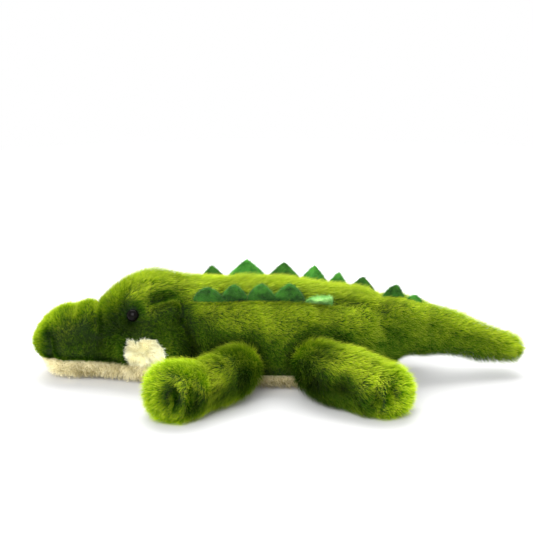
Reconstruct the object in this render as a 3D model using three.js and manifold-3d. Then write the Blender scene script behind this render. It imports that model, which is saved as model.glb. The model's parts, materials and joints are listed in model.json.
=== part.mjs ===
// A plush crocodile lying on its belly, built as it is sewn: fur fabric panels over fibre filling,
// felt scutes caught in the seams, safety eyes held by washers inside the head, and a head, a tail and
// four legs that swing at their seams. Millimetres, +Z up, snout towards -X, its own left towards -Y.
import * as THREE from "three";
import { mergeVertices } from "three/addons/utils/BufferGeometryUtils.js";
import Module from "manifold-3d";

const wasm = await Module();
wasm.setup();

// Lengths from the snout tip to the neck seam, on to the rump seam and on to the tail tip
const headLength = 93;
const torsoLength = 117;
const tailLength = 90;

// Fur fabric, its backing and pressed pile together, and the gaps that keep pieces apart
const furFabric = 4;
const seamGap = 0.3;
const swingGap = 0.6;
const overrun = 6;

// Head, measured over the fur
const headHalfWidth = 35;
const headHeight = 63;
const headWidestHeight = 22;
const headTuck = 6;
const snoutRound = 20;
const headRearRound = 8;
const mouthHeight = 13;
const jawInset = 2.5;

// Torso, measured over the fur. Its underside reaches below the floor and is pressed flat there
const torsoHalfWidth = 41.5;
const torsoHeight = 58.3;
const torsoWidestHeight = 20;
const torsoTuck = 6;
const shoulderTuck = 4;
const shoulderRound = 6;
const rumpRound = 14;
const bellySeamHeight = 9.5;
const floorPress = 6;

// Neck: the torso's round front end sits in the head's hollow rear end
const neckRadius = 30;
const neckHalfHeight = 26.5;
const neckCentreHeight = 30;
const neckOpeningRadius = 15;

// Tail, measured over the fur
const tailHalfWidth = 20;
const tailTopHeight = 50;
const tailRootRound = 4;
const tailTipRound = 9;
const tailOpeningRadius = 8;

// Legs, measured over the fur. Each root is a ball that presses a dimple into the flank
const frontLegRadius = 15.5;
const hindLegRadius = 17;
const legDimple = 3;
const legOpeningRadius = 6;
const frontLegLength = 78;
const hindLegLength = 75;
const pawRound = 15;
const toeGroove = 4;
const toeReach = 16;
const frontLegFromNeck = 33;
const hindLegFromNeck = 80.5;

// Angles in degrees
const headTurn = 20;
const tailSwing = 25;
const rimMargin = 2;
const frontLegSplay = 41.5;
const hindLegSplay = 28;

// Felt scutes, their seam tabs and the seams that hold them
const feltThickness = 1.3;
const tabDepth = 5;
const backSeamOffset = 19.5;
const backSeamHeight = 47;
const backSeamFoot = 22;
const backSeamLean = 24;
const foldedTurn = 58;
const foldedLift = 2.8;

// Safety eyes
const eyeRadius = 3.7;
const eyeDome = 3.1;
const eyeSink = 1.6;
const stemRadius = 1.6;
const stemLength = 10;
const stemRidge = 0.35;
const stemRidgePitch = 1.5;
const stemRidges = 2;
const washerRadius = 5;
const washerThickness = 1.4;
const eyeFromSnout = 64.5;
const eyeHeight = 43.5;
const eyeForwardTurn = 14;
const eyeUpTurn = 16;

// Cheek patch, on the side of the head above the mouth seam
const cheekFromSnout = 58.5;
const cheekLength = 28;
const cheekHeight = 18.5;

// Fineness of the round forms
const torsoSides = 20;
const torsoSteps = 9;
const innerSides = 10;
const innerSteps = 4;
const legSides = 14;
const legSteps = 5;
const legInnerSteps = 3;
const ballSides = 20;
const ballRings = 10;
const innerBallSides = 12;
const innerBallRings = 6;
const roundSteps = 3;
const scuteCurveSteps = 3;

// Sections as shares: along the length, half width, top height, underside height
const headShares = [
  [0, 0.62, 0.59, 0],
  [0.09, 0.68, 0.635, 0],
  [0.18, 0.7, 0.665, 0],
  [0.27, 0.7, 0.678, 0],
  [0.365, 0.7, 0.718, 0],
  [0.41, 0.7, 0.702, 0],
  [0.46, 0.72, 0.745, 0],
  [0.52, 0.77, 0.84, 0],
  [0.6, 0.85, 0.925, 0],
  [0.7, 0.94, 0.975, 0],
  [0.8, 1, 1, 0],
  [0.9, 0.99, 0.985, 0],
  [1, 0.95, 0.955, 0],
  [1.06, 0.93, 0.94, 0],
];
const torsoShares = [
  [-0.05, 0.78, 0.99, 0],
  [0, 0.81, 0.99, 0],
  [0.08, 0.87, 0.995, 0],
  [0.16, 0.93, 1, 0],
  [0.25, 0.97, 1, 0],
  [0.45, 1, 0.995, 0],
  [0.6, 1, 0.975, 0],
  [0.75, 0.975, 0.935, 0],
  [0.86, 0.925, 0.9, 0],
  [0.95, 0.85, 0.875, 0],
  [1.06, 0.76, 0.84, 0],
];
const tailShares = [
  [0, 1, 1, 0.15],
  [0.06, 1, 1, 0.16],
  [0.164, 0.93, 0.94, 0.22],
  [0.33, 0.83, 0.87, 0.235],
  [0.488, 0.73, 0.79, 0.238],
  [0.687, 0.62, 0.642, 0.15],
  [0.833, 0.56, 0.54, 0.13],
  [0.948, 0.5, 0.48, 0.13],
  [1, 0.47, 0.46, 0.14],
];
const legShares = [
  [0, 1, 2, 0],
  [0.2, 1, 2, 0],
  [0.4, 1.02, 1.95, -0.2],
  [0.55, 1.06, 1.9, -0.35],
  [0.7, 1.14, 1.94, -0.4],
  [0.85, 1.18, 1.94, -0.4],
  [1, 1.12, 1.8, -0.4],
];
const legRootLiftShare = 0.1;
const furPower = 2.45;
const pressedPower = 3.4;
const roundPower = 2;

// Scute rows as shares of the torso or tail length: centre along it and base width, then height as a
// share of the base width
const leftRowShares = [
  [0.133, 0.139, 0.48],
  [0.2658, 0.117, 0.64],
  [0.4009, 0.1265, 0.64],
  [0.541, 0.14, 0.62],
  [0.694, 0.133, 0.66],
];
const rightRowShares = [
  [0.14, 0.132, 0.55],
  [0.3205, 0.193, 0.5],
  [0.5137, 0.164, 0.53],
  [0.671, 0.135, 0.64],
  [0.7966, 0.106, 0.66],
  [0.923, 0.12, 0.6],
];
const tailRowShares = [
  [0.103, 0.141, 0.68],
  [0.2367, 0.115, 0.5],
];

// A scute's outline as shares of its half width and height: the bulge of its sides and its round tip
const sideBulgeShare = 0.72;
const tipShare = 0.2;
const tipTopShare = 0.94;
const tipPeakShare = 1.06;

// Cheek patch outline as shares of its length and height, from its lower front corner round. It runs
// on below the mouth seam, which cuts it off
const cheekOutlineShares = [
  [0, -0.3],
  [-0.02, 0.62],
  [0.03, 0.98],
  [0.15, 0.84],
  [0.3, 1.02],
  [0.7, 1],
  [0.93, 0.78],
  [1, 0.3],
  [0.82, -0.3],
];

const plush = (colour) => new THREE.MeshStandardMaterial({ color: colour, roughness: 1, metalness: 0 });
const greenFur = plush("#5f8417");
const creamFur = plush("#efe7b4");
const fibre = plush("#f4f3ee");
const felt = plush("#3c7a34");
const eyePlastic = new THREE.MeshStandardMaterial({ color: "#15130f", roughness: 0.12, metalness: 0 });
const washerPlastic = new THREE.MeshStandardMaterial({ color: "#e8e6dd", roughness: 0.5, metalness: 0 });

// Places along the animal, with its length centred on the origin
const snoutX = -(headLength + torsoLength + tailLength) / 2;
const neckSeamX = snoutX + headLength;
const rumpSeamX = neckSeamX + torsoLength;
const radians = THREE.MathUtils.degToRad;
const neckRim = neckRadius * Math.sin(radians(headTurn + rimMargin));
const neckPivotX = neckSeamX + neckRim;
const tailRootHeight = (tailTopHeight * (tailShares[1][2] + tailShares[1][3])) / 2;
const tailRootHalfHeight = (tailTopHeight * (tailShares[1][2] - tailShares[1][3])) / 2;
const tailPivotX = rumpSeamX + tailHalfWidth * Math.sin(radians(tailSwing - rimMargin));

// A closed solid from a geometry, and a geometry from a solid
function solidOf(geometry) {
  const bare = geometry.index ? geometry.toNonIndexed() : geometry.clone();
  for (const name of Object.keys(bare.attributes)) if (name !== "position") bare.deleteAttribute(name);
  const merged = mergeVertices(bare);
  const corners = merged.index.array;
  const kept = [];
  for (let i = 0; i < corners.length; i += 3) {
    const [a, b, c] = [corners[i], corners[i + 1], corners[i + 2]];
    if (a !== b && b !== c && c !== a) kept.push(a, b, c);
  }
  const vertProperties = merged.attributes.position.array;
  return new wasm.Manifold(new wasm.Mesh({ numProp: 3, vertProperties, triVerts: new Uint32Array(kept) }));
}

function geometryOf(solid) {
  const mesh = solid.getMesh();
  const geometry = new THREE.BufferGeometry();
  geometry.setAttribute("position", new THREE.BufferAttribute(mesh.vertProperties, 3));
  geometry.setIndex(new THREE.BufferAttribute(mesh.triVerts, 1));
  geometry.computeVertexNormals();
  return geometry;
}

const joined = (...solids) => solids.reduce((sum, solid) => sum.add(solid));
const cut = (solid, ...tools) => tools.reduce((left, tool) => left.subtract(tool), solid);

// The largest piece of a cut, without the crumbs that a seam plane can leave
function largest(solid) {
  return solid.decompose().reduce((best, piece) => (piece.volume() > best.volume() ? piece : best));
}

// Smooth section sizes between the rows of a table of shares
function sectionsOf(shares) {
  const along = Float32Array.from(shares, (row) => row[0]);
  const values = Float32Array.from(shares.flatMap((row) => row.slice(1)));
  const curve = new THREE.CubicInterpolant(along, values, 3, new Float32Array(3));
  return (share) => [...curve.evaluate(THREE.MathUtils.clamp(share, along[0], along.at(-1)))];
}

// A point of a rounded section: share 1 at the middle of a side, and power 2 for an ellipse
const rounded = (value, power) => Math.sign(value) * Math.abs(value) ** (2 / power);

// A stuffed form along +X: sections that swell and taper, round ends, and an underside pressed on the
// floor. An inset gives the same form with that much taken off all round.
function stuffedForm(form, inset = 0) {
  const { from, to, startRound, endRound, sizesAt, power, lowerPower, sides, steps, toes } = form;
  const floor = (form.floorInset ?? 0) + inset;
  const [start, end] = [from + inset, to - inset];
  const [firstRound, lastRound] = [startRound - inset, endRound - inset];
  const rings = [];
  for (let i = 1; i <= roundSteps; i++) {
    const angle = ((Math.PI / 2) * i) / roundSteps;
    rings.push([start + firstRound * (1 - Math.cos(angle)), Math.sin(angle)]);
  }
  for (let i = 1; i < steps; i++) {
    rings.push([THREE.MathUtils.lerp(start + firstRound, end - lastRound, i / steps), 1]);
  }
  for (let i = roundSteps; i >= 1; i--) {
    const angle = ((Math.PI / 2) * i) / roundSteps;
    rings.push([end - lastRound * (1 - Math.cos(angle)), Math.sin(angle)]);
  }
  const points = [];
  const addPoint = (x, y, z, share) => {
    const reach = toes ? THREE.MathUtils.smoothstep(x, to - toeReach, to) : 0;
    const groove = 1 - Math.abs(Math.cos(1.5 * Math.PI * THREE.MathUtils.clamp(share, -1, 1)));
    points.push(x - (toes ? toeGroove * groove * reach : 0), y, Math.max(z, floor));
  };
  const middleAt = (x) => sizesAt(x)[3];
  addPoint(start, 0, middleAt(start), 0);
  for (const [x, scale] of rings) {
    const [halfWidth, top, underside, middle] = sizesAt(x);
    for (let k = 0; k < sides; k++) {
      const angle = (2 * Math.PI * k) / sides;
      const squareness = Math.sin(angle) > 0 ? power : lowerPower;
      const across = rounded(Math.cos(angle), squareness);
      const up = rounded(Math.sin(angle), squareness);
      const rise = (up > 0 ? top - middle : middle - underside) - inset;
      addPoint(x, (halfWidth - inset) * across * scale, middle + rise * up * scale, across * scale);
    }
  }
  addPoint(end, 0, middleAt(end), 0);
  const faces = [];
  const at = (ring, k) => 1 + ring * sides + (k % sides);
  const last = 1 + rings.length * sides;
  for (let k = 0; k < sides; k++) {
    faces.push(0, at(0, k + 1), at(0, k));
    for (let r = 0; r + 1 < rings.length; r++) {
      faces.push(at(r, k), at(r, k + 1), at(r + 1, k + 1));
      faces.push(at(r, k), at(r + 1, k + 1), at(r + 1, k));
    }
    faces.push(last, at(rings.length - 1, k), at(rings.length - 1, k + 1));
  }
  const geometry = new THREE.BufferGeometry();
  geometry.setAttribute("position", new THREE.Float32BufferAttribute(points, 3));
  geometry.setIndex(faces);
  return solidOf(geometry);
}

// Plain tools: a ball that may be taller than wide, a rod along +X and a block between two corners
function ball(radius, halfHeight, x, y, z, inner = false) {
  const [sides, rings] = inner ? [innerBallSides, innerBallRings] : [ballSides, ballRings];
  const geometry = new THREE.SphereGeometry(1, sides, rings);
  geometry.rotateX(Math.PI / 2).scale(radius, radius, halfHeight).translate(x, y, z);
  return solidOf(geometry);
}

function rod(radius, fromX, toX, y, z) {
  const geometry = new THREE.CylinderGeometry(radius, radius, toX - fromX, innerSides);
  geometry.rotateZ(Math.PI / 2).translate((fromX + toX) / 2, y, z);
  return solidOf(geometry);
}

function block(low, high) {
  const size = high.map((value, i) => value - low[i]);
  const geometry = new THREE.BoxGeometry(...size);
  geometry.translate(...high.map((value, i) => (value + low[i]) / 2));
  return solidOf(geometry);
}

// Reach of blocks that cut the whole animal
const wide = headLength + torsoLength + tailLength;
const above = (z) => block([-wide, -wide, z], [wide, wide, wide]);
const below = (z) => block([-wide, -wide, -wide], [wide, wide, z]);
const leftOf = (y) => block([-wide, -wide, -wide], [wide, y, wide]);
const rightOf = (y) => block([-wide, y, -wide], [wide, wide, wide]);

// Head, jaw, torso and tail forms
const headSections = sectionsOf(headShares);
const headForm = {
  from: snoutX,
  to: neckSeamX + headTuck,
  startRound: snoutRound,
  endRound: headRearRound,
  power: furPower,
  lowerPower: pressedPower,
  sides: torsoSides,
  steps: torsoSteps,
  sizesAt(x) {
    const [width, top] = headSections((x - snoutX) / headLength);
    return [headHalfWidth * width, headHeight * top, -floorPress, headWidestHeight];
  },
};
const innerHeadForm = { ...headForm, sides: innerSides, steps: innerSteps };
const torsoSections = sectionsOf(torsoShares);
const torsoForm = {
  from: neckSeamX - shoulderTuck,
  to: rumpSeamX + torsoTuck,
  startRound: shoulderRound,
  endRound: rumpRound,
  power: furPower,
  lowerPower: pressedPower,
  sides: torsoSides,
  steps: torsoSteps,
  sizesAt(x) {
    const [width, top] = torsoSections((x - neckSeamX) / torsoLength);
    return [torsoHalfWidth * width, torsoHeight * top, -floorPress, torsoWidestHeight];
  },
};
const innerTorsoForm = { ...torsoForm, sides: innerSides, steps: innerSteps };
const tailSections = sectionsOf(tailShares);
const tailForm = {
  from: tailPivotX - tailRootRound,
  to: rumpSeamX + tailLength,
  startRound: tailRootRound,
  endRound: tailTipRound,
  power: roundPower,
  lowerPower: roundPower,
  sides: legSides,
  steps: torsoSteps,
  sizesAt(x) {
    const [width, top, underside] = tailSections((x - rumpSeamX) / tailLength);
    const middle = (tailTopHeight * (top + underside)) / 2;
    return [tailHalfWidth * width, tailTopHeight * top, tailTopHeight * underside, middle];
  },
};
const innerTailForm = { ...tailForm, sides: innerSides, steps: innerSteps };

// How far out a form's surface is at a place and height
function surfaceY(form, x, z) {
  const [halfWidth, top, underside, middle] = form.sizesAt(x);
  const [reach, power] = z > middle ? [top - middle, form.power] : [middle - underside, form.lowerPower];
  const up = Math.min(Math.abs(z - middle) / reach, 1);
  return halfWidth * (1 - up ** power) ** (1 / power);
}

// How high a form's surface is at a place and distance out
function surfaceZ(form, x, y) {
  const [halfWidth, top, , middle] = form.sizesAt(x);
  const out = Math.min(Math.abs(y) / halfWidth, 1);
  return middle + (top - middle) * (1 - out ** form.power) ** (1 / form.power);
}

// Legs, with the places of their root balls
const legs = [
  {
    name: "front",
    x: neckSeamX + frontLegFromNeck,
    radius: frontLegRadius,
    length: frontLegLength,
    heading: 180 + frontLegSplay,
  },
  {
    name: "hind",
    x: neckSeamX + hindLegFromNeck,
    radius: hindLegRadius,
    length: hindLegLength,
    heading: -hindLegSplay,
  },
];
for (const leg of legs) {
  leg.rootHeight = leg.radius * (1 + legRootLiftShare);
  leg.y = -(surfaceY(torsoForm, leg.x, leg.rootHeight) + leg.radius - legDimple);
}

// A leg's form in its own frame: the root ball's centre at x = 0, toes towards +X, z as in the animal
function legForm({ radius, length, rootHeight }, sides, steps) {
  const sections = sectionsOf(legShares);
  const lift = radius * legRootLiftShare;
  return {
    from: -radius,
    to: length - radius,
    startRound: radius,
    endRound: pawRound,
    power: roundPower,
    lowerPower: roundPower,
    sides,
    steps,
    toes: true,
    sizesAt(x) {
      const [width, top, underside] = sections((x + radius) / length);
      return [radius * width, lift + radius * top, lift + radius * underside, rootHeight];
    },
  };
}

// Balls at the seams that swing, grown by an allowance
function neckBall(grow, inner) {
  return ball(neckRadius + grow, neckHalfHeight + grow, neckPivotX, 0, neckCentreHeight, inner);
}

function tailBall(grow, inner) {
  return ball(tailHalfWidth + grow, tailRootHalfHeight + grow, tailPivotX, 0, tailRootHeight, inner);
}

function legBalls(grow, inner) {
  return legs.flatMap(({ x, y, radius, rootHeight }) =>
    [y, -y].map((side) => ball(radius + grow, radius + grow, x, side, rootHeight, inner)),
  );
}

// Room for the head's rear edge in front of the shoulders, at rest and turned either way
function headRooms(grow) {
  return [-headTurn, 0, headTurn].map((angle) => {
    const room = geometryOf(block([-wide, -wide, -wide], [grow - neckRim, wide, wide]));
    return solidOf(room.rotateZ(radians(angle)).translate(neckPivotX, 0, 0));
  });
}

// A felt scute standing on y = 0 in its own plane, with the seam tab below the fold line
function scuteOutline(width, height) {
  const half = width / 2;
  const shape = new THREE.Shape();
  shape.moveTo(-half, -tabDepth);
  shape.lineTo(half, -tabDepth);
  shape.lineTo(half, 0);
  const [bulgeX, bulgeY] = [half * sideBulgeShare, height * sideBulgeShare];
  const [tipX, tipY] = [half * tipShare, height * tipTopShare];
  shape.quadraticCurveTo(bulgeX, bulgeY, tipX, tipY);
  shape.quadraticCurveTo(0, height * tipPeakShare, -tipX, tipY);
  shape.quadraticCurveTo(-bulgeX, bulgeY, -half, 0);
  return shape;
}

function feltSheet(shape) {
  const [depth, curveSegments] = [feltThickness, scuteCurveSteps];
  const geometry = new THREE.ExtrudeGeometry(shape, { depth, bevelEnabled: false, curveSegments });
  return solidOf(geometry.translate(0, 0, -depth / 2));
}

// A scute's solid and the pocket that its tab needs, in the scute's own frame. A folded scute's flap
// turns down outwards, over the flank
function scuteSolid(width, height, folded) {
  const whole = feltSheet(scuteOutline(width, height));
  if (!folded) return whole;
  const tab = whole.intersect(block([-width, -wide, -width], [width, foldedLift, width]));
  const flap = geometryOf(whole.intersect(block([-width, foldedLift, -width], [width, wide, width])));
  flap.translate(0, -foldedLift, 0).rotateX(radians(foldedTurn)).translate(0, foldedLift, 0);
  return joined(tab, solidOf(flap));
}

const pocketHalf = feltThickness / 2 + seamGap;
function scutePocket(width) {
  const half = width / 2 + seamGap;
  return block([-half, -tabDepth - seamGap, -pocketHalf], [half, overrun, pocketHalf]);
}

// A row's scutes: each stands in its seam's plane, along the slope of the back there
const leanShift = (z) => (z - backSeamHeight) * Math.tan(radians(backSeamLean));
function scuteRow(rowShares, form, startX, length, side, foldedIndex = -1) {
  const out = side * backSeamOffset;
  return rowShares.map(([along, widthShare, heightShare], i) => {
    const x = startX + length * along;
    const width = length * widthShare;
    const before = surfaceZ(form, x - width / 2, out);
    const after = surfaceZ(form, x + width / 2, out);
    const z = (before + after) / 2 - furFabric / 2;
    const y = side * (backSeamOffset + leanShift(z));
    const matrix = new THREE.Matrix4()
      .makeTranslation(x, y, z)
      .multiply(new THREE.Matrix4().makeRotationX(Math.PI / 2 - side * radians(backSeamLean)))
      .multiply(new THREE.Matrix4().makeRotationZ(Math.atan2(after - before, width)));
    return { x, z, width, height: width * heightShare, matrix, folded: i === foldedIndex };
  });
}

const leftRow = scuteRow(leftRowShares, torsoForm, neckSeamX, torsoLength, -1, leftRowShares.length - 1);
const rightRow = scuteRow(rightRowShares, torsoForm, neckSeamX, torsoLength, 1);
const tailRow = scuteRow(tailRowShares, tailForm, rumpSeamX, tailLength, 0);
const pockets = (row) =>
  row.map(({ width, matrix }) => solidOf(geometryOf(scutePocket(width)).applyMatrix4(matrix)));

// The trough that a whole row's tabs need in the filling
function trough(row, side) {
  const [first, last] = [row[0], row.at(-1)];
  const foot = Math.min(...row.map(({ z }) => z)) - tabDepth - furFabric;
  const reach = last.x - first.x + last.width;
  const upright = block([-first.width, 0, -pocketHalf], [reach, torsoHeight, pocketHalf]);
  const geometry = geometryOf(upright).rotateX(Math.PI / 2 - side * radians(backSeamLean));
  return solidOf(geometry.translate(first.x, side * (backSeamOffset + leanShift(foot)), foot));
}

// Torso skin, cut into a back panel, two flanks and a belly panel
function torsoSolid(inset) {
  const inner = inset > 0;
  const room = swingGap + inset;
  const shoulders = cut(stuffedForm(inner ? innerTorsoForm : torsoForm, inset), ...headRooms(room));
  return cut(joined(shoulders, neckBall(-inset, inner)), tailBall(room, inner), ...legBalls(room, inner));
}
const neckRod = (radius, fromX, toX) => rod(radius, fromX, toX, 0, neckCentreHeight);
const neckFront = neckPivotX - neckRadius - overrun;
const neckThrough = neckRod(neckOpeningRadius, neckFront, neckPivotX - neckRadius / 2);
const torsoSkin = cut(torsoSolid(0), torsoSolid(furFabric), neckThrough);

// The back panel lies between two planes that lean outwards, and reaches down into the hollow
function backWedge(grow) {
  const across = (z) => backSeamOffset + leanShift(z) + grow;
  const shape = new THREE.Shape();
  shape.moveTo(across(backSeamFoot), backSeamFoot);
  shape.lineTo(across(torsoHeight + overrun), torsoHeight + overrun);
  shape.lineTo(-across(torsoHeight + overrun), torsoHeight + overrun);
  shape.lineTo(-across(backSeamFoot), backSeamFoot);
  const geometry = new THREE.ExtrudeGeometry(shape, { depth: wide, bevelEnabled: false });
  geometry.translate(0, 0, -wide / 2).rotateX(Math.PI / 2).rotateZ(Math.PI / 2);
  return solidOf(geometry);
}
const backPockets = [...pockets(leftRow), ...pockets(rightRow)];
const backPanel = largest(cut(torsoSkin.intersect(backWedge(-seamGap / 2)), ...backPockets));
const besideBack = cut(torsoSkin, backWedge(seamGap / 2), ...backPockets);
const aboveBelly = above(bellySeamHeight + seamGap / 2);
const flankLeft = largest(besideBack.intersect(aboveBelly).intersect(leftOf(-seamGap / 2)));
const flankRight = largest(besideBack.intersect(aboveBelly).intersect(rightOf(seamGap / 2)));
const bellyPanel = largest(torsoSkin.intersect(below(bellySeamHeight - seamGap / 2)));
const neckPlug = neckRod(neckOpeningRadius - seamGap, neckFront, neckPivotX).intersect(neckBall(0));
const torsoFilling = cut(
  joined(torsoSolid(furFabric + seamGap), neckPlug),
  trough(leftRow, -1),
  trough(rightRow, 1),
);

// Head: green skin above the mouth seam, cream jaw below it, cheek patches let into the sides
function headSolid(inset, form, inner) {
  const behind = block([neckSeamX - inset, -wide, -wide], [wide, wide, wide]);
  return cut(stuffedForm(form, inset), behind, neckBall(swingGap + inset, inner));
}
const jawForm = { ...headForm, floorInset: -jawInset };
const innerJawForm = { ...innerHeadForm, floorInset: -jawInset };
const neckFromHead = (radius) => neckRod(radius, neckPivotX - neckRadius - 2 * furFabric, neckPivotX);
const headShell = cut(
  headSolid(0, headForm),
  headSolid(furFabric, innerHeadForm, true),
  neckFromHead(neckOpeningRadius),
);
const jawShell = cut(headSolid(jawInset, jawForm), headSolid(jawInset + furFabric, innerJawForm, true));

// A clockwise outline moved outwards by an allowance
function grownOutline(points, grow) {
  const normal = (a, b) => new THREE.Vector2(a.y - b.y, b.x - a.x).normalize();
  return points.map((point, i) => {
    const before = normal(points.at(i - 1), point);
    const after = normal(point, points[(i + 1) % points.length]);
    const reach = grow / (1 + before.dot(after));
    return before.add(after).multiplyScalar(reach).add(point);
  });
}

function cheekPrism(grow) {
  const x0 = snoutX + cheekFromSnout;
  const z0 = mouthHeight + seamGap / 2;
  const points = cheekOutlineShares.map(
    ([along, up]) => new THREE.Vector2(x0 + cheekLength * along, z0 + cheekHeight * up),
  );
  const shape = new THREE.Shape(grownOutline(points, grow));
  const geometry = new THREE.ExtrudeGeometry(shape, { depth: wide, bevelEnabled: false });
  return solidOf(geometry.rotateX(Math.PI / 2));
}

// Safety eye along +Z: dome, ridged stem, and its washer
function eyeSolid() {
  const neckedRadius = stemRadius - stemRidge;
  const profile = [new THREE.Vector2(0, -stemLength), new THREE.Vector2(neckedRadius, -stemLength)];
  for (let i = stemRidges; i >= 1; i--) {
    const y = -stemLength + stemRidgePitch * (stemRidges - i + 1);
    profile.push(new THREE.Vector2(stemRadius, y), new THREE.Vector2(neckedRadius, y));
  }
  profile.push(new THREE.Vector2(neckedRadius, 0), new THREE.Vector2(eyeRadius, 0));
  for (let i = 1; i < roundSteps; i++) {
    const angle = ((Math.PI / 2) * i) / roundSteps;
    profile.push(new THREE.Vector2(eyeRadius * Math.cos(angle), eyeDome * Math.sin(angle)));
  }
  profile.push(new THREE.Vector2(0, eyeDome));
  return new THREE.LatheGeometry(profile, innerSides).rotateX(Math.PI / 2);
}

function ring(innerRadius, outerRadius, fromZ, toZ) {
  const profile = [
    [innerRadius, fromZ],
    [outerRadius, fromZ],
    [outerRadius, toZ],
    [innerRadius, toZ],
    [innerRadius, fromZ],
  ].map(([radius, z]) => new THREE.Vector2(radius, z));
  return new THREE.LatheGeometry(profile, innerSides).rotateX(Math.PI / 2);
}

function disc(radius, fromZ, toZ) {
  const geometry = new THREE.CylinderGeometry(radius, radius, toZ - fromZ, innerSides);
  return geometry.rotateX(Math.PI / 2).translate(0, 0, (fromZ + toZ) / 2);
}

// The eye's frame: on the skin, facing out, forward and up, sunk into the pile
const eyeX = snoutX + eyeFromSnout;
const eyeMatrix = new THREE.Matrix4()
  .makeTranslation(eyeX, -(surfaceY(headForm, eyeX, eyeHeight) - eyeSink), eyeHeight)
  .multiply(new THREE.Matrix4().makeRotationZ(-radians(eyeForwardTurn)))
  .multiply(new THREE.Matrix4().makeRotationX(Math.PI / 2 - radians(eyeUpTurn)));
const placed = (geometry) => geometry.clone().applyMatrix4(eyeMatrix);
const mirrored = (solid) => {
  const geometry = geometryOf(solid).toNonIndexed();
  const corners = geometry.attributes.position.array;
  for (let i = 0; i < corners.length; i += 9) {
    const first = corners.slice(i, i + 3);
    corners.copyWithin(i, i + 3, i + 6);
    corners.set(first, i + 3);
  }
  return solidOf(geometry.scale(1, -1, 1));
};
const washerTop = -(furFabric + seamGap);
const washerFoot = washerTop - washerThickness;
const eyeCuts = [
  solidOf(placed(disc(eyeRadius + seamGap, -seamGap, overrun))),
  solidOf(placed(disc(stemRadius + seamGap, -stemLength - seamGap, overrun))),
];
const washerCut = solidOf(placed(disc(washerRadius + seamGap, washerFoot - seamGap, washerTop + seamGap)));
const bothSides = (tools) => tools.flatMap((tool) => [tool, mirrored(tool)]);

const aboveMouth = above(mouthHeight + seamGap / 2);
const headSkin = largest(
  cut(headShell.intersect(aboveMouth), ...bothSides([cheekPrism(0), ...eyeCuts, washerCut])),
);
const cheekPatches = bothSides([cheekPrism(-seamGap)]).map((prism) =>
  largest(headShell.intersect(aboveMouth).intersect(prism)),
);
const jawSkin = largest(jawShell.intersect(below(mouthHeight - seamGap / 2)));
const headFilling = largest(
  cut(
    joined(
      headSolid(furFabric + seamGap, innerHeadForm, true).intersect(above(mouthHeight)),
      headSolid(jawInset + furFabric + seamGap, innerJawForm, true).intersect(below(mouthHeight)),
      neckFromHead(neckOpeningRadius - seamGap).subtract(neckBall(swingGap)),
    ),
    ...bothSides([...eyeCuts, washerCut]),
  ),
);

// Tail: two skins that meet in the top and bottom seams
function tailSolid(inset) {
  return joined(stuffedForm(inset > 0 ? innerTailForm : tailForm, inset), tailBall(-inset, inset > 0));
}
const tailFront = tailPivotX - tailHalfWidth;
const tailRod = (radius) => rod(radius, tailFront - overrun, tailPivotX, 0, tailRootHeight);
const tailPockets = pockets(tailRow);
const tailShell = cut(
  tailSolid(0),
  tailSolid(furFabric),
  tailRod(tailOpeningRadius),
  ...tailPockets,
);
const tailLeft = largest(tailShell.intersect(leftOf(-seamGap / 2)));
const tailRight = largest(tailShell.intersect(rightOf(seamGap / 2)));
const tailFilling = cut(
  joined(
    tailSolid(furFabric + seamGap),
    tailRod(tailOpeningRadius - seamGap).intersect(tailBall(0)),
  ),
  ...tailPockets,
);

// Legs: a skin with its stuffing opening at the root, and the filling
function legPieces(leg) {
  const outer = stuffedForm(legForm(leg, legSides, legSteps));
  const innerForm = legForm(leg, innerSides, legInnerSteps);
  const opening = (radius) => {
    const length = leg.radius + overrun;
    const geometry = new THREE.CylinderGeometry(radius, radius, length, innerSides);
    geometry.translate(0, length / 2, 0).rotateZ(-radians(leg.heading));
    return solidOf(geometry.translate(0, 0, leg.rootHeight));
  };
  const skin = cut(outer, stuffedForm(innerForm, furFabric), opening(legOpeningRadius));
  const filling = joined(
    stuffedForm(innerForm, furFabric + seamGap),
    opening(legOpeningRadius - seamGap).intersect(outer),
  );
  return { skin, filling };
}

// The scene graph
const crocodile = new THREE.Group();
const sides = ["left", "right"];
function addMesh(group, name, geometry, material) {
  const mesh = new THREE.Mesh(geometry, material);
  mesh.name = name;
  group.add(mesh);
  return mesh;
}
const addSolid = (group, name, solid, material) => addMesh(group, name, geometryOf(solid), material);

const torso = new THREE.Group();
addSolid(torso, "back_panel", backPanel, greenFur);
addSolid(torso, "flank_left", flankLeft, greenFur);
addSolid(torso, "flank_right", flankRight, greenFur);
addSolid(torso, "belly_panel", bellyPanel, creamFur);
addSolid(torso, "torso_filling", torsoFilling, fibre);

function addScutes(group, row, name) {
  row.forEach(({ width, height, matrix, folded }, i) => {
    const mesh = addSolid(group, `${name}_${i + 1}`, scuteSolid(width, height, folded), felt);
    mesh.applyMatrix4(matrix);
  });
}
addScutes(torso, leftRow, "scute_left");
addScutes(torso, rightRow, "scute_right");

const head = new THREE.Group();
addSolid(head, "head_skin", headSkin, greenFur);
addSolid(head, "jaw_skin", jawSkin, creamFur);
addSolid(head, "head_filling", headFilling, fibre);
for (const [i, side] of sides.entries()) {
  addSolid(head, `cheek_patch_${side}`, cheekPatches[i], creamFur);
  const half = new THREE.Group();
  half.scale.y = side === "left" ? 1 : -1;
  addMesh(half, `eye_${side}`, eyeSolid(), eyePlastic).applyMatrix4(eyeMatrix);
  const washer = ring(stemRadius + seamGap, washerRadius, washerFoot, washerTop);
  addMesh(half, `eye_washer_${side}`, washer, washerPlastic).applyMatrix4(eyeMatrix);
  head.add(half);
}

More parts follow.
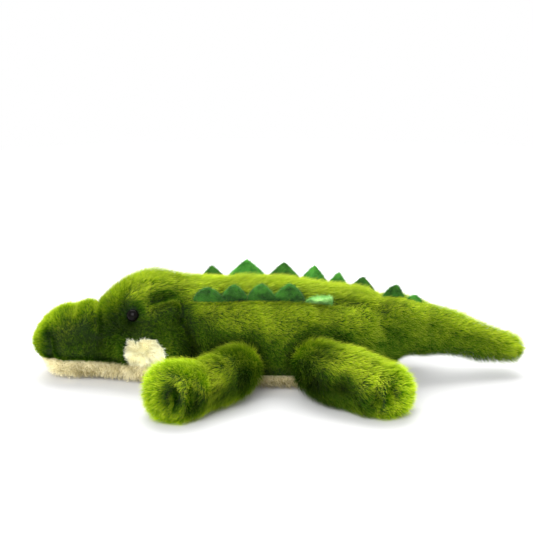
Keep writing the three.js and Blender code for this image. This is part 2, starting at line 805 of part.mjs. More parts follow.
const tail = new THREE.Group();
addSolid(tail, "tail_skin_left", tailLeft, greenFur);
addSolid(tail, "tail_skin_right", tailRight, greenFur);
addSolid(tail, "tail_filling", tailFilling, fibre);
addScutes(tail, tailRow, "scute_tail");

const limbs = new THREE.Group();
for (const leg of legs) {
  const { skin, filling } = legPieces(leg);
  for (const side of sides) {
    const half = new THREE.Group();
    half.scale.y = side === "left" ? 1 : -1;
    const limb = new THREE.Group();
    limb.position.set(leg.x, leg.y, 0);
    limb.rotation.z = radians(leg.heading);
    addSolid(limb, `${leg.name}_leg_skin_${side}`, skin, greenFur);
    addSolid(limb, `${leg.name}_leg_filling_${side}`, filling, fibre);
    half.add(limb);
    limbs.add(half);
  }
}

crocodile.add(torso, head, tail, limbs);
export default crocodile;
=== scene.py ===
# Plush crocodile lying on its belly: stuffed skins, sewn pile, felt scutes and safety eyes, in metres
import json
import math
from functools import partial

import bmesh
import bpy
import numpy as np
from mathutils import Matrix, Vector, noise
from mathutils.bvhtree import BVHTree

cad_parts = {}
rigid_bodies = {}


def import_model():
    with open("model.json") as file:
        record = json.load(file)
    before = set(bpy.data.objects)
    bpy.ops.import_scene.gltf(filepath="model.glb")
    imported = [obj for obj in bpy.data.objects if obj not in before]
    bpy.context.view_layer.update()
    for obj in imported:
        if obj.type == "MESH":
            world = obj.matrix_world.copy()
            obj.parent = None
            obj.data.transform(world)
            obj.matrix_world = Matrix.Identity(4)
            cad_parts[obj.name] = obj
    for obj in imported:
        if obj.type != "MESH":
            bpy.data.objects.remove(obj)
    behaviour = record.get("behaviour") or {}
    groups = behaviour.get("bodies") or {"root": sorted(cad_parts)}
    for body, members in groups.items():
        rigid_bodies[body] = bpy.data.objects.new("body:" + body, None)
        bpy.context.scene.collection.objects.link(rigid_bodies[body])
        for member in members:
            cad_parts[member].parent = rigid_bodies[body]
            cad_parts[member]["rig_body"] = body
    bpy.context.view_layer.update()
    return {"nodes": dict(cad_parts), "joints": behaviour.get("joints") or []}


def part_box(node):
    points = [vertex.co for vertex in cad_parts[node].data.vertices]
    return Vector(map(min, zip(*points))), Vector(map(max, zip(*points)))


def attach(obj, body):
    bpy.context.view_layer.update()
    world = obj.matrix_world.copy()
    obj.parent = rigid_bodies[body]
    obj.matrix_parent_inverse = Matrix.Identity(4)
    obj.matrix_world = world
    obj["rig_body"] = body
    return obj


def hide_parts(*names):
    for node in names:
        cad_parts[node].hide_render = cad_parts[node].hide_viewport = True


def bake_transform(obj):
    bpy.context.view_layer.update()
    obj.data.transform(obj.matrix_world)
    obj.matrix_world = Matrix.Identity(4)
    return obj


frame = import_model()
cadNodes = frame["nodes"]
mm = 0.001
weldGap = 0.01 * mm
noiseSeed = 7
noise.seed_set(noiseSeed)  # noise_vector starts from the clock without it


# Plain helpers for meshes

def linkObject(name, mesh):
    made = bpy.data.objects.new(name, mesh)
    bpy.context.scene.collection.objects.link(made)
    return made


def openMesh(source):
    bm = bmesh.new()
    bm.from_mesh(source.data)
    return bm


def closeMesh(name, bm):
    mesh = bpy.data.meshes.new(name)
    bm.to_mesh(mesh)
    bm.free()
    return linkObject(name, mesh)


def joinedCopy(name, nodeNames):
    bm = bmesh.new()
    for nodeName in nodeNames:
        bm.from_mesh(cadNodes[nodeName].data)
    bmesh.ops.remove_doubles(bm, verts=bm.verts, dist=weldGap)
    return closeMesh(name, bm)


def applyModifiers(target):
    graph = bpy.context.evaluated_depsgraph_get()
    shown = target.evaluated_get(graph)
    made = bpy.data.meshes.new_from_object(shown, preserve_all_data_layers=True, depsgraph=graph)
    target.modifiers.clear()
    target.data = made


def rowsOf(items, key, width, kind=np.float32):
    flat = np.zeros(len(items) * width, kind)
    items.foreach_get(key, flat)
    return flat.reshape(-1, width)


def pointsOf(mesh):
    return rowsOf(mesh.vertices, "co", 3).astype(float)


def normalsOf(mesh):
    return rowsOf(mesh.vertex_normals, "vector", 3).astype(float)


def edgesOf(mesh):
    return rowsOf(mesh.edges, "vertices", 2, np.int32)


def setPoints(mesh, points):
    mesh.vertices.foreach_set("co", points.astype(np.float32).ravel())
    mesh.update()


# What the pile follows at each point of its backing, and its nap field, which also carries painted light and
# shade
pileFields = {
    "pileRise": "FLOAT_VECTOR",
    "pileFlow": "FLOAT_VECTOR",
    "pileLength": "FLOAT",
    "pileCover": "FLOAT",
    "pileLaid": "FLOAT",
}


def setFields(mesh, *fields):
    for (name, kind), values in zip(pileFields.items(), fields):
        field = mesh.attributes.new(name, kind, "POINT")
        key = "vector" if kind == "FLOAT_VECTOR" else "value"
        field.data.foreach_set(key, values.astype(np.float32).ravel())


def dress(mesh, material):  # one material, and none of the pile's fields
    for name in pileFields:
        layer = mesh.attributes.get(name)
        if layer:
            mesh.attributes.remove(layer)
    mesh.materials.clear()
    mesh.materials.append(material)


def relaxed(values, edges, rounds, share=0.5):  # each value moves towards its neighbours' mean
    count = np.zeros(len(values))
    np.add.at(count, edges.ravel(), 1)
    count = np.maximum(count, 1)
    count = count[:, None] if values.ndim == 2 else count
    for _ in range(rounds):
        total = np.zeros_like(values)
        np.add.at(total, edges[:, 0], values[edges[:, 1]])
        np.add.at(total, edges[:, 1], values[edges[:, 0]])
        values = values * (1 - share) + total / count * share
    return values


def smoothSurface(mesh, rounds):  # rounds of smoothing that keep the volume
    edges = edgesOf(mesh)
    points = pointsOf(mesh)
    for share in (0.5, -0.52) * rounds:
        points = relaxed(points, edges, 1, share)
    setPoints(mesh, points)


def shadeSmooth(mesh):
    mesh.polygons.foreach_set("use_smooth", np.ones(len(mesh.polygons), bool))
    mesh.update()


def evenMesh(skin, voxel):
    remesh = skin.modifiers.new("even", "REMESH")
    remesh.mode = "VOXEL"
    remesh.voxel_size = voxel
    applyModifiers(skin)


def unit(vectors):
    return vectors / np.maximum(np.linalg.norm(vectors, axis=1, keepdims=True), 1e-9)


def inSurface(vectors, normals):
    return vectors - normals * np.sum(vectors * normals, axis=1, keepdims=True)


def noiseVectors(points, size, offset):  # smooth random vectors, about size across
    shift = Vector((offset, offset * 0.7, -offset))
    return np.array([noise.noise_vector(Vector(p) / size + shift) for p in points])


def noiseValues(points, size, offset):
    shift = Vector((offset, -offset, offset * 0.3))
    return np.array([noise.noise(Vector(p) / size + shift) for p in points])


def hill(distance, width):
    return np.exp(-((distance / width) ** 2))


def spot(x, z, place, reach):  # a hill round a place on the side
    return hill(np.hypot((x - place[0]) / reach[0], (z - place[1]) / reach[1]), 1.0)


def step(value, low, high):
    share = np.clip((value - low) / (high - low), 0, 1)
    return share * share * (3 - 2 * share)


# Plain helpers for nodes

def linear(hexColour):  # sRGB hex to the linear colour that nodes take
    channels = [int(hexColour[i:i + 2], 16) / 255 for i in (1, 3, 5)]
    return tuple(c / 12.92 if c <= 0.04045 else ((c + 0.055) / 1.055) ** 2.4 for c in channels) + (1.0,)


def feed(tree, socket, value):  # a value, a socket or a node's first output
    if isinstance(value, bpy.types.Node):
        value = next(s for s in value.outputs if s.enabled)
    if isinstance(value, bpy.types.NodeSocket):
        tree.links.new(value, socket)
    else:
        socket.default_value = value


# Kind is short, with the operation after a dot; inputs come in their order, or by name in one dictionary
def addNode(tree, kind, *inputs, **settings):
    kind, dot, operation = kind.partition(".")
    families = ("ShaderNode", "GeometryNode", "FunctionNode", "")
    node = tree.nodes.new(next(f + kind for f in families if hasattr(bpy.types, f + kind)))
    if operation:
        node.operation = operation
    for key, value in settings.items():
        setattr(node, key, value)
    sockets = [s for s in node.inputs if s.enabled]
    if inputs and isinstance(inputs[0], dict):
        for key, value in inputs[0].items():
            feed(tree, next(s for s in sockets if s.name == key), value)
    else:
        for socket, value in zip(sockets, inputs):
            feed(tree, socket, value)
    return node


def newMaterial(name):
    material = bpy.data.materials.new(name)
    material.use_nodes = True
    material.node_tree.nodes.clear()
    return material, partial(addNode, material.node_tree)


# Materials

def makePileMaterial(name, look):  # cut-pile polyester: matt strands that glow against the light
    material, add = newMaterial(name)
    along, tone, laid = [
        add("Attribute", attribute_name=field).outputs["Fac"]
        for field in ("pileAlong", "pileTone", "pileLaid")
    ]
    ramps = []
    for key in ("standingPaintedShade", "laid"):
        ramp = add("ValToRGB", {"Fac": along})
        stops = ramp.color_ramp.elements
        for place, colour in look[key][2:]:
            stops.new(place)
        for (place, colour), stop in zip(look[key], stops):
            stop.position = place
            stop.color = linear(colour)
        ramps.append(ramp)
    # The nap field mixes the two ramps: painted shade where it is low, painted light where it is high
    strand = add("Mix", {"Factor": laid, "A": ramps[0], "B": ramps[1]}, data_type="RGBA")
    place = add("TexCoord").outputs["Object"]
    patches = add("TexNoise", {"Vector": place, "Scale": 1 / look["patchSize"], "Detail": 2.0})
    patch, hair, spin = look["patchSpread"], look["strandSpread"], look["hueSpread"]
    patchShift = add("MapRange", patches.outputs["Fac"], 0.3, 0.7, 1 - patch, 1 + patch)
    strandShift = add("MapRange", tone, 0.0, 1.0, 1 - hair, 1 + hair)
    hue = add("MapRange", tone, 0.0, 1.0, 0.5 + spin, 0.5 - spin)
    # Painted shade in pits and folds where the nap field is below 0, painted light on tops where it is above
    # 1
    paintedPitShade = add("MapRange", laid, -1.0, 0.0, 0.15, 1.0)
    paintedTopLight = add("MapRange", laid, 1.0, 2.0, 1.0, 1.3)
    shifts = add("Math.MULTIPLY", patchShift, strandShift)
    paintedShadeAndLight = add("Math.MULTIPLY", paintedPitShade, paintedTopLight)
    brightness = add("Math.MULTIPLY", shifts, paintedShadeAndLight)
    shifted = add("HueSaturation", {"Hue": hue, "Value": brightness, "Color": strand})
    shader = add("BsdfPrincipled", {
        "Base Color": shifted, "Roughness": look["roughness"],
        "IOR": 1.5, "Specular IOR Level": look["gloss"],
    })
    through = add("BsdfTranslucent", {"Color": shifted})
    both = add("MixShader", look["glow"], shader, through)
    add("OutputMaterial", {"Surface": both})
    return material


def makeBackingMaterial(name, colour, knitSize):  # warp-knit polyester backing, rows of small loops
    material, add = newMaterial(name)
    place = add("TexCoord").outputs["Object"]
    loops = add("TexWave", {
        "Vector": place, "Scale": 0.32 / knitSize, "Distortion": 2.0, "Detail": 1.0,
    }, wave_type="BANDS", bands_direction="DIAGONAL")
    wear = add("TexNoise", {"Vector": place, "Scale": 1 / (6 * mm)})
    light = linear(colour)
    worn = tuple(0.6 * c for c in light[:3]) + (1.0,)
    shade = add("Mix", {"Factor": wear.outputs["Fac"], "A": light, "B": worn}, data_type="RGBA")
    bump = add("Bump", {"Height": loops.outputs["Fac"], "Strength": 0.4, "Distance": 0.2 * mm})
    shader = add("BsdfPrincipled", {"Base Color": shade, "Roughness": 0.9, "Normal": bump})
    add("OutputMaterial", {"Surface": shader})
    return material


def makeFeltMaterial(name, dark, light):  # pressed polyester felt: matt, cloudy, with tangled fibres
    material, add = newMaterial(name)
    place = add("TexCoord").outputs["Object"]
    clouds = add("TexNoise", {"Vector": place, "Scale": 1 / feltForm["cloudSize"], "Detail": 3.0})
    fibres = add("TexNoise", {
        "Vector": place, "Scale": 1 / feltForm["fibreSize"], "Detail": 4.0, "Distortion": 1.5,
    })
    mixed = add("Math.MULTIPLY_ADD", fibres.outputs["Fac"], 0.6, clouds.outputs["Fac"])
    share = add("MapRange", mixed, 0.6, 1.0)
    shade = add("Mix", {"Factor": share, "A": linear(dark), "B": linear(light)}, data_type="RGBA")
    bump = add("Bump", {"Height": fibres.outputs["Fac"], "Strength": 0.6, "Distance": 0.25 * mm})
    shader = add("BsdfPrincipled", {
        "Base Color": shade, "Roughness": 0.95, "Normal": bump,
        "Specular IOR Level": 0.2, "Sheen Weight": 0.1,
    })
    add("OutputMaterial", {"Surface": shader})
    return material


def makePlasticMaterial(name, look):  # moulded plastic, with the faint ripple of the mould
    material, add = newMaterial(name)
    place = add("TexCoord").outputs["Object"]
    noises = add("TexNoise", {"Vector": place, "Scale": 1 / look["rippleSize"]})
    ripple = noises.outputs["Fac"]
    dark, light = linear(look["dark"]), linear(look["light"])
    shade = add("Mix", {"Factor": ripple, "A": dark, "B": light}, data_type="RGBA")
    bump = add("Bump", {"Height": ripple, "Strength": look["rippleStrength"], "Distance": 0.05 * mm})
    shader = add("BsdfPrincipled", {
        "Base Color": shade, "Roughness": look["roughness"], "Normal": bump,
        "IOR": 1.49, "Specular IOR Level": look["gloss"],
    })
    add("OutputMaterial", {"Surface": shader})
    return material


creamFinish = {
    "patchSize": 16 * mm, "patchSpread": 0.03, "hueSpread": 0.004,
    "roughness": 0.8, "gloss": 0.1, "glow": 0.3,
}
# Ramps run from root to tip, darker towards the root as painted shade deep in the pile; the standing ramps
# hold painted shade and the laid ramps painted light
pileLooks = {
    "green": {
        "standingPaintedShade": [(0.0, "#0a1f02"), (0.5, "#1a3f03"), (0.78, "#436c09"), (1.0, "#a2b43c")],
        "laid": [(0.0, "#1c4a03"), (0.4, "#5a8a06"), (0.7, "#a6c014"), (1.0, "#d8de54")],
        "patchSize": 24 * mm, "patchSpread": 0.1, "strandSpread": 0.28, "hueSpread": 0.012,
        "roughness": 0.75, "gloss": 0.04, "glow": 0.36,
    },
    "cream": {
        "standingPaintedShade": [(0.0, "#bbae7c"), (0.45, "#cdc294"), (0.78, "#dbd1a8"), (1.0, "#e8e0c0")],
        "laid": [(0.0, "#efe8c4"), (0.45, "#f7f1d2"), (0.78, "#fcf7dc"), (1.0, "#fffbe8")],
        "strandSpread": 0.12, **creamFinish,
    },
    # A lighter copy of the cream pile for the cheek patches: painted light
    "palePaintedLit": {
        "standingPaintedShade": [(0.0, "#fbf5cc"), (0.45, "#fffbda"), (0.78, "#fffee6"), (1.0, "#fffff2")],
        "laid": [(0.0, "#fbf5d2"), (0.45, "#fffbde"), (0.78, "#fffee8"), (1.0, "#fffef2")],
        "strandSpread": 0.06, **creamFinish,
    },
}
greenBacking = makeBackingMaterial("green knit backing", "#1c3304", 1.2 * mm)
creamBacking = makeBackingMaterial("cream knit backing", "#efe6bc", 1.2 * mm)
pileMaterials = {
    "green": makePileMaterial("green pile", pileLooks["green"]),
    "cream": makePileMaterial("cream pile", pileLooks["cream"]),
    "palePaintedLit": makePileMaterial("pale cream pile", pileLooks["palePaintedLit"]),
}
backings = {"green": greenBacking, "cream": creamBacking}
feltForm = {"cloudSize": 5 * mm, "fibreSize": 0.8 * mm}
# Lit and shaded copies of one green felt: painted light on some scutes and the folded one, painted shade on
# the rest
paintedLightFeltColours = {
    "paintedShade": ("#123408", "#3f7d22"),
    "bright": ("#1e5a12", "#509b36"),
    "folded": ("#5c9c44", "#a0d27a"),
}
felts = {key: makeFeltMaterial(key + " green felt", *shades) for key, shades in paintedLightFeltColours.items()}
eyeLook = {"dark": "#030303", "light": "#0d0b09", "rippleSize": 2 * mm, "rippleStrength": 0.02,
           "roughness": 0.08, "gloss": 0.05}
washerLook = {"dark": "#d8d6cc", "light": "#efeee6", "rippleSize": 3 * mm, "rippleStrength": 0.2,
              "roughness": 0.45, "gloss": 0.5}
eyePlastic = makePlasticMaterial("black polystyrene", eyeLook)
washerPlastic = makePlasticMaterial("white polyethylene", washerLook)
print("materials made")


# Sewn pile: each strand is a thin tapering blade that rises from the backing and bends with the nap
pileInputs = {  # density is in strands per square metre, floor is the lowest height of a strand
    "Geometry": "Geometry", "Density": "Float", "Length": "Float", "Width": "Float", "Segments": "Int",
    "Bend": "Float", "Stray": "Float", "Tuft size": "Float", "Tuft pull": "Float", "Floor": "Float",
    "Seed": "Int", "Material": "Material",
}


def makePileTree():
    tree = bpy.data.node_groups.new("Sewn pile", "GeometryNodeTree")
    for name, kind in pileInputs.items():
        tree.interface.new_socket(name=name, in_out="INPUT", socket_type="NodeSocket" + kind)
    tree.interface.new_socket(name="Geometry", in_out="OUTPUT", socket_type="NodeSocketGeometry")
    add = partial(addNode, tree)
    given = add("NodeGroupInput").outputs
    position = add("InputPosition")
    axes = add("SeparateXYZ", position).outputs

    # The blade that every strand starts from: y runs from root to tip, x across with its taper
    rows = add("Math.ADD", given["Segments"], 1.0)
    grid = add("MeshGrid", {"Size X": 1.0, "Size Y": 1.0, "Vertices X": 2, "Vertices Y": rows})
    gridAlong = add("Math.ADD", axes[1], 0.5)
    narrowing = add("Math.POWER", gridAlong, 2.6)
    taper = add("Math.SUBTRACT", 1.0, narrowing)
    gridAcross = add("Math.MULTIPLY", axes[0], taper)
    flatPlace = add("CombineXYZ", gridAcross, gridAlong)
    flatBlade = add("SetPosition", {"Geometry": grid.outputs["Mesh"], "Position": flatPlace})
    blade = add("MergeByDistance", {"Geometry": flatBlade, "Distance": 0.001})

    # Roots on the backing, thinned by the cover field
    rise, flow, size, cover, laid = [
        add("InputNamedAttribute", {"Name": name}, data_type=kind)
        for name, kind in pileFields.items()
    ]
    density = add("Math.MULTIPLY", given["Density"], cover)
    roots = add("DistributePointsOnFaces", {
        "Mesh": given["Geometry"], "Density": density, "Seed": given["Seed"],
    }, distribute_method="RANDOM")
    tuftScale = add("Math.DIVIDE", 1.0, given["Tuft size"])
    tufts = add("TexVoronoi", {"Vector": position, "Scale": tuftScale}, voronoi_dimensions="3D")
    tuftSpan = add("VectorMath.SUBTRACT", tufts.outputs["Position"], position)
    tuftPull = add("VectorMath.SCALE", tuftSpan, given["Tuft pull"])
    scatter = add("RandomValue", {
        "Min": (-1.0, -1.0, -1.0), "Max": (1.0, 1.0, 1.0), "Seed": given["Seed"],
    }, data_type="FLOAT_VECTOR")
    strayed = add("VectorMath.MULTIPLY_ADD", scatter, given["Stray"], flow)
    growth, strandTone, roll = [
        add("RandomValue", {"Min": low, "Max": high, "Seed": seed}, data_type="FLOAT")
        for low, high, seed in ((0.66, 1.12, 11), (0.0, 0.5, 23), (-0.7, 0.7, 37))
    ]
    grown = add("Math.MULTIPLY", size, growth)
    strandLength = add("Math.MULTIPLY", grown, given["Length"])
    tuftTone = add("SeparateXYZ", tufts.outputs["Color"])
    tone = add("Math.MULTIPLY_ADD", tuftTone.outputs[0], 0.5, strandTone)

    # What each strand keeps of its blade and of its root
    keepers = []
    for source, fields in (
        (blade, [("FLOAT", "across", axes[0]), ("FLOAT", "along", axes[1])]),
        (roots.outputs["Points"], [
            ("VECTOR", "root", position), ("VECTOR", "rise", rise), ("VECTOR", "flow", strayed),
            ("VECTOR", "pull", tuftPull), ("FLOAT", "length", strandLength), ("FLOAT", "tone", tone),
            ("FLOAT", "roll", roll), ("FLOAT", "number", add("InputIndex")), ("FLOAT", "laid", laid),
        ]),
    ):
        keeper = add("CaptureAttribute", {"Geometry": source})
        for kind, name, value in fields:
            keeper.capture_items.new(kind, name)
            feed(tree, keeper.inputs[name], value)
        keepers.append(keeper.outputs)
    bladeKept, kept = keepers
    bare = add("RemoveAttribute", {
        "Geometry": kept["Geometry"], "Name": "pile*",
    }, pattern_mode="WILDCARD")
    instances = add("InstanceOnPoints", {"Points": bare, "Instance": bladeKept["Geometry"]})
    loose = add("RealizeInstances", {"Geometry": instances})

    # Each strand's centreline, then its width across the nap
    along = bladeKept["along"]
    sag = add("Math.MULTIPLY", along, given["Bend"])
    upright = add("Math.SUBTRACT", 1.0, sag)
    upShare = add("Math.MULTIPLY", upright, along)
    up = add("Math.MULTIPLY", upShare, kept["length"])
    lean = add("Math.MULTIPLY_ADD", along, 0.65, 0.3)
    outShare = add("Math.MULTIPLY", lean, along)
    out = add("Math.MULTIPLY", outShare, kept["length"])
    alongSquare = add("Math.MULTIPLY", along, along)
    risen = add("VectorMath.SCALE", kept["rise"], up)
    leant = add("VectorMath.SCALE", kept["flow"], out)
    pulled = add("VectorMath.SCALE", kept["pull"], alongSquare)
    first = add("VectorMath.ADD", kept["root"], risen)
    second = add("VectorMath.ADD", leant, pulled)
    centre = add("VectorMath.ADD", first, second)
    aside = add("VectorMath.CROSS_PRODUCT", kept["rise"], kept["flow"])
    asideUnit = add("VectorMath.NORMALIZE", aside)
    rolled = add("VectorMath.SCALE", kept["rise"], kept["roll"])
    turned = add("VectorMath.ADD", asideUnit, rolled)
    turnedUnit = add("VectorMath.NORMALIZE", turned)
    half = add("Math.MULTIPLY", bladeKept["across"], given["Width"])
    wide = add("VectorMath.SCALE", turnedUnit, half)
    place = add("VectorMath.ADD", centre, wide)
    placeAxes = add("SeparateXYZ", place).outputs
    height = add("Math.MAXIMUM", placeAxes[2], given["Floor"])
    rested = add("CombineXYZ", placeAxes[0], placeAxes[1], height)
    strands = add("SetPosition", {"Geometry": loose, "Position": rested})

    # Fields for the material, and a small cell of the map for each strand
    for name, value in (("pileAlong", along), ("pileTone", kept["tone"]), ("pileLaid", kept["laid"])):
        strands = add("StoreNamedAttribute", {
            "Geometry": strands, "Name": name, "Value": value,
        }, data_type="FLOAT", domain="POINT")
    total = add("AttributeDomainSize", {"Geometry": roots}, component="POINTCLOUD")
    root = add("Math.SQRT", total.outputs["Point Count"])
    cells = add("Math.CEIL", root)
    column = add("Math.MODULO", kept["number"], cells)
    rowShare = add("Math.DIVIDE", kept["number"], cells)
    row = add("Math.FLOOR", rowShare)
    cellAcross = add("Math.MULTIPLY_ADD", bladeKept["across"], 0.7, 0.5)
    cellAlong = add("Math.MULTIPLY_ADD", along, 0.8, 0.1)
    mapU = add("Math.ADD", column, cellAcross)
    mapV = add("Math.ADD", row, cellAlong)
    mapCell = add("CombineXYZ", mapU, mapV)
    cellSize = add("Math.DIVIDE", 1.0, cells)
    mapPlace = add("VectorMath.SCALE", mapCell, cellSize)
    mapped = add("StoreNamedAttribute", {
        "Geometry": strands, "Name": "OFBake", "Value": mapPlace,
    }, data_type="FLOAT2", domain="CORNER")
    soft = add("SetShadeSmooth", {"Geometry": mapped})
    dressed = add("SetMaterial", {"Geometry": soft, "Material": given["Material"]})
    add("NodeGroupOutput", {"Geometry": dressed})
    return tree


pileTree = makePileTree()
treeItems = pileTree.interface.items_tree
pileSockets = {item.name: item.identifier for item in treeItems if item.in_out == "INPUT"}
pileFloor = 0.2 * mm
quickShare = 1.0
pileCounts = {}


def growPile(name, source, pile, seed, material):  # turns one panel into its strands, as a plain mesh
    values = {**pile, "Floor": pileFloor, "Seed": seed, "Material": material}
    values["Density"] *= quickShare
    values["Width"] /= math.sqrt(quickShare)
    modifier = source.modifiers.new("pile", "NODES")
    modifier.node_group = pileTree
    for key, value in values.items():
        modifier[pileSockets[key]] = value
    applyModifiers(source)
    mesh = source.data
    source.name = mesh.name = name
    if not mesh.materials:
        mesh.materials.append(material)
    mesh.calc_loop_triangles()
    pileCounts[name] = len(mesh.loop_triangles)
    return source


# Stuffed skins
stuffing = {"pressure": 120.0, "mass": 0.0005, "quality": 6, "frames": 20, "cap": 1.6 * mm}


def stuffSkin(skin, seamWeights):  # pressure inside swells the skin between its pinned seams
    scene = bpy.context.scene
    start = pointsOf(skin.data)
    pins = skin.vertex_groups.new(name="seams")
    for index, weight in enumerate(seamWeights):
        pins.add([index], float(weight), "REPLACE")
    cloth = skin.modifiers.new("stuffing", "CLOTH")
    settings = cloth.settings
    settings.vertex_group_mass = "seams"
    settings.use_pressure = True
    settings.uniform_pressure_force = stuffing["pressure"]
    settings.mass = stuffing["mass"]
    settings.quality = stuffing["quality"]
    settings.effector_weights.gravity = 0
    cloth.point_cache.frame_start = 1
    cloth.point_cache.frame_end = stuffing["frames"]
    for number in range(1, stuffing["frames"] + 1):
        scene.frame_set(number)
    applyModifiers(skin)
    skin.vertex_groups.clear()
    moved = pointsOf(skin.data) - start
    reach = np.linalg.norm(moved, axis=1, keepdims=True)
    print(f"{skin.name} swelled {reach.mean() / mm:.2f} mm, at most {reach.max() / mm:.2f} mm")
    moved *= np.minimum(1, stuffing["cap"] / np.maximum(reach, 1e-9))
    setPoints(skin.data, start + relaxed(moved, edgesOf(skin.data), 2))
    scene.frame_set(1)
    smoother = skin.modifiers.new("finer", "SUBSURF")
    smoother.levels = smoother.render_levels = 1
    applyModifiers(skin)
    shadeSmooth(skin.data)


def remeshed(skin, form):  # an even copy of a skin's outside, sunk by the height of its pile
    evenMesh(skin, form["voxel"])
    smoothSurface(skin.data, form["smoothing"])
    points, normals = pointsOf(skin.data), normalsOf(skin.data)
    setPoints(skin.data, points - relaxed(normals, edgesOf(skin.data), 2) * form["inset"])
    smoothSurface(skin.data, 3)
    return skin


# The long body, from snout to tail tip, measured off the CAD's skins
bodyForm = {
    "nodes": ["head_skin", "jaw_skin", "cheek_patch_left", "cheek_patch_right", "back_panel", "flank_left",
              "flank_right", "belly_panel", "tail_skin_left", "tail_skin_right"],
    "stations": 110,
    "evenShare": 0.85,
    "endGap": 0.8 * mm,
    "offSeam": 1.2 * mm,
    "sides": 60,
    "bridges": [(-80 * mm, -30 * mm, 60 * mm, 400 * mm), (44 * mm, 100 * mm, 120 * mm, 300 * mm)],
    "bridgeEnds": 8 * mm,
    "voxel": 3.0 * mm,
    "smoothing": 6,
    "inset": 3.7 * mm,
}
snoutX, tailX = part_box("head_skin")[0].x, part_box("tail_skin_left")[1].x
ringAngles = 2 * math.pi * (np.arange(bodyForm["sides"]) + 0.5) / bodyForm["sides"]


def measureBody():
    source = joinedCopy("measured body", bodyForm["nodes"])
    bm = openMesh(source)
    tree = BVHTree.FromBMesh(bm)
    bm.free()
    bpy.data.objects.remove(source)
    reach = 120 * mm
    even = np.linspace(0, 1, bodyForm["stations"])
    eased = (1 - np.cos(even * math.pi)) / 2
    evenShare = bodyForm["evenShare"]
    stations = snoutX + (tailX - snoutX) * (evenShare * even + (1 - evenShare) * eased)
    stations[0] += bodyForm["endGap"]
    stations[-1] -= bodyForm["endGap"]
    heights = []
    for x in stations:
        ends = [
            tree.ray_cast(Vector((x, bodyForm["offSeam"], -way * reach)), Vector((0, 0, way)), reach * 2)[0]
            for way in (-1, 1)
        ]
        heights.append((ends[0].z + ends[1].z) / 2 if all(ends) else np.nan)
    heights = np.array(heights)
    known = ~np.isnan(heights)
    heights = np.interp(stations, stations[known], heights[known])
    padded = np.pad(heights, 3, mode="edge")
    heights = np.convolve(padded, np.ones(7) / 7, mode="valid")
    radii = np.full((len(stations), len(ringAngles)), np.nan)
    for i, x in enumerate(stations):
        centre = Vector((x, 0, heights[i]))
        for k, angle in enumerate(ringAngles):
            direction = Vector((0, math.sin(angle), math.cos(angle)))
            hit = tree.ray_cast(centre + direction * reach, -direction, reach)[0]
            if hit is not None:
                radii[i, k] = (hit - centre).length
    for column in radii.T:
        known = ~np.isnan(column)
        column[:] = np.interp(stations, stations[known], column[known])
    wide = np.pad(radii, ((1, 1), (0, 0)), mode="edge")
    wide = np.concatenate([wide[:, -1:], wide, wide[:, :1]], axis=1)
    count, sides = radii.shape
    around = [wide[a:a + count, b:b + sides] for a in range(3) for b in range(3)]
    radii[1:-1] = np.median(np.array(around), axis=0)[1:-1]
    return stations, heights, radii


def bridgeJoints(stations, radii):  # a parabola rolled along fills the rooms at the joints
    upward = step(np.cos(ringAngles), 0.3, 0.75)
    span = stations[:, None] - stations[None, :]
    ends = bodyForm["bridgeEnds"]
    for low, high, sideCurve, topCurve in bodyForm["bridges"]:
        curve = sideCurve + (topCurve - sideCurve) * upward
        sink = (span**2)[:, :, None] / (2 * curve)
        swollen = np.max(radii[None, :, :] - sink, axis=1)
        closed = np.min(swollen[None, :, :] + sink, axis=1)
        share = step(stations, low, low + ends) * (1 - step(stations, high - ends, high))
        radii = radii + (np.maximum(closed, radii) - radii) * share[:, None]
    return radii


def makeBody():
    stations, heights, radii = measureBody()
    radii = bridgeJoints(stations, radii)
    bm = bmesh.new()
    rings = [
        [bm.verts.new((x, r * math.sin(a), middle + r * math.cos(a))) for r, a in zip(row, ringAngles)]
        for x, middle, row in zip(stations, heights, radii)
    ]
    for before, after in zip(rings, rings[1:]):
        for k in range(len(before)):
            following = (k + 1) % len(before)
            bm.faces.new((before[k], before[following], after[following], after[k]))
    for ring, x, middle in ((rings[0], snoutX, heights[0]), (rings[-1], tailX, heights[-1])):
        pole = bm.verts.new((x, 0, middle))
        for k in range(len(ring)):
            bm.faces.new((ring[k], ring[(k + 1) % len(ring)], pole))
    bmesh.ops.recalc_face_normals(bm, faces=bm.faces)
    return remeshed(closeMesh("body", bm), bodyForm)


# Places on the body, in millimetres, that its seams, folds and nap follow
places = {
    "neck": -57.5,
    "rump": 58.0,
    "mouth": 13.0,
    "belly": 9.5,
    "backOffset": 19.5,
    "backHeight": 47.0,
    "backLean": math.tan(math.radians(24)),
    "eye": (-85.5, 43.5),
    "cheek": (-80.5, 21.0),
}


def backSeamGap(x, y, z):  # distance from the seams that hold the scutes
    return np.abs(y) - places["backOffset"] - (z - places["backHeight"]) * places["backLean"]


def lineGap(first, last):  # gives the distance from a line drawn on the side
    span = np.array(last, float) - np.array(first, float)

    def gap(x, y, z):
        share = np.clip(((x - first[0]) * span[0] + (z - first[1]) * span[1]) / (span @ span), 0, 1)
        return np.hypot(x - first[0] - share * span[0], z - first[1] - share * span[1])

    return gap


def bodySeamWeights(points):  # 1 on a seam, where the stuffing can't push
    x, y, z = points.T / mm
    onBack = hill(backSeamGap(x, y, z), 3) * (z > 35) * (x > -54) * (x < 60)
    onMouth = hill(z - places["mouth"], 3) * (x < -64)
    onBelly = hill(z - places["belly"], 3) * (np.abs(x) < 60)
    onFloor = step(6 - z, 0, 2)
    onNeck = hill(x - places["neck"], 4)
    onRump = hill(x - places["rump"], 4)
    return np.clip(np.max([onBack, onMouth, onBelly, onFloor, onNeck, onRump], axis=0), 0.02, 1)


def neckGap(x, y, z):
    return np.abs(x - places["neck"] - 0.28 * (44 - z) - 1.2 * np.sin(0.3 * z))


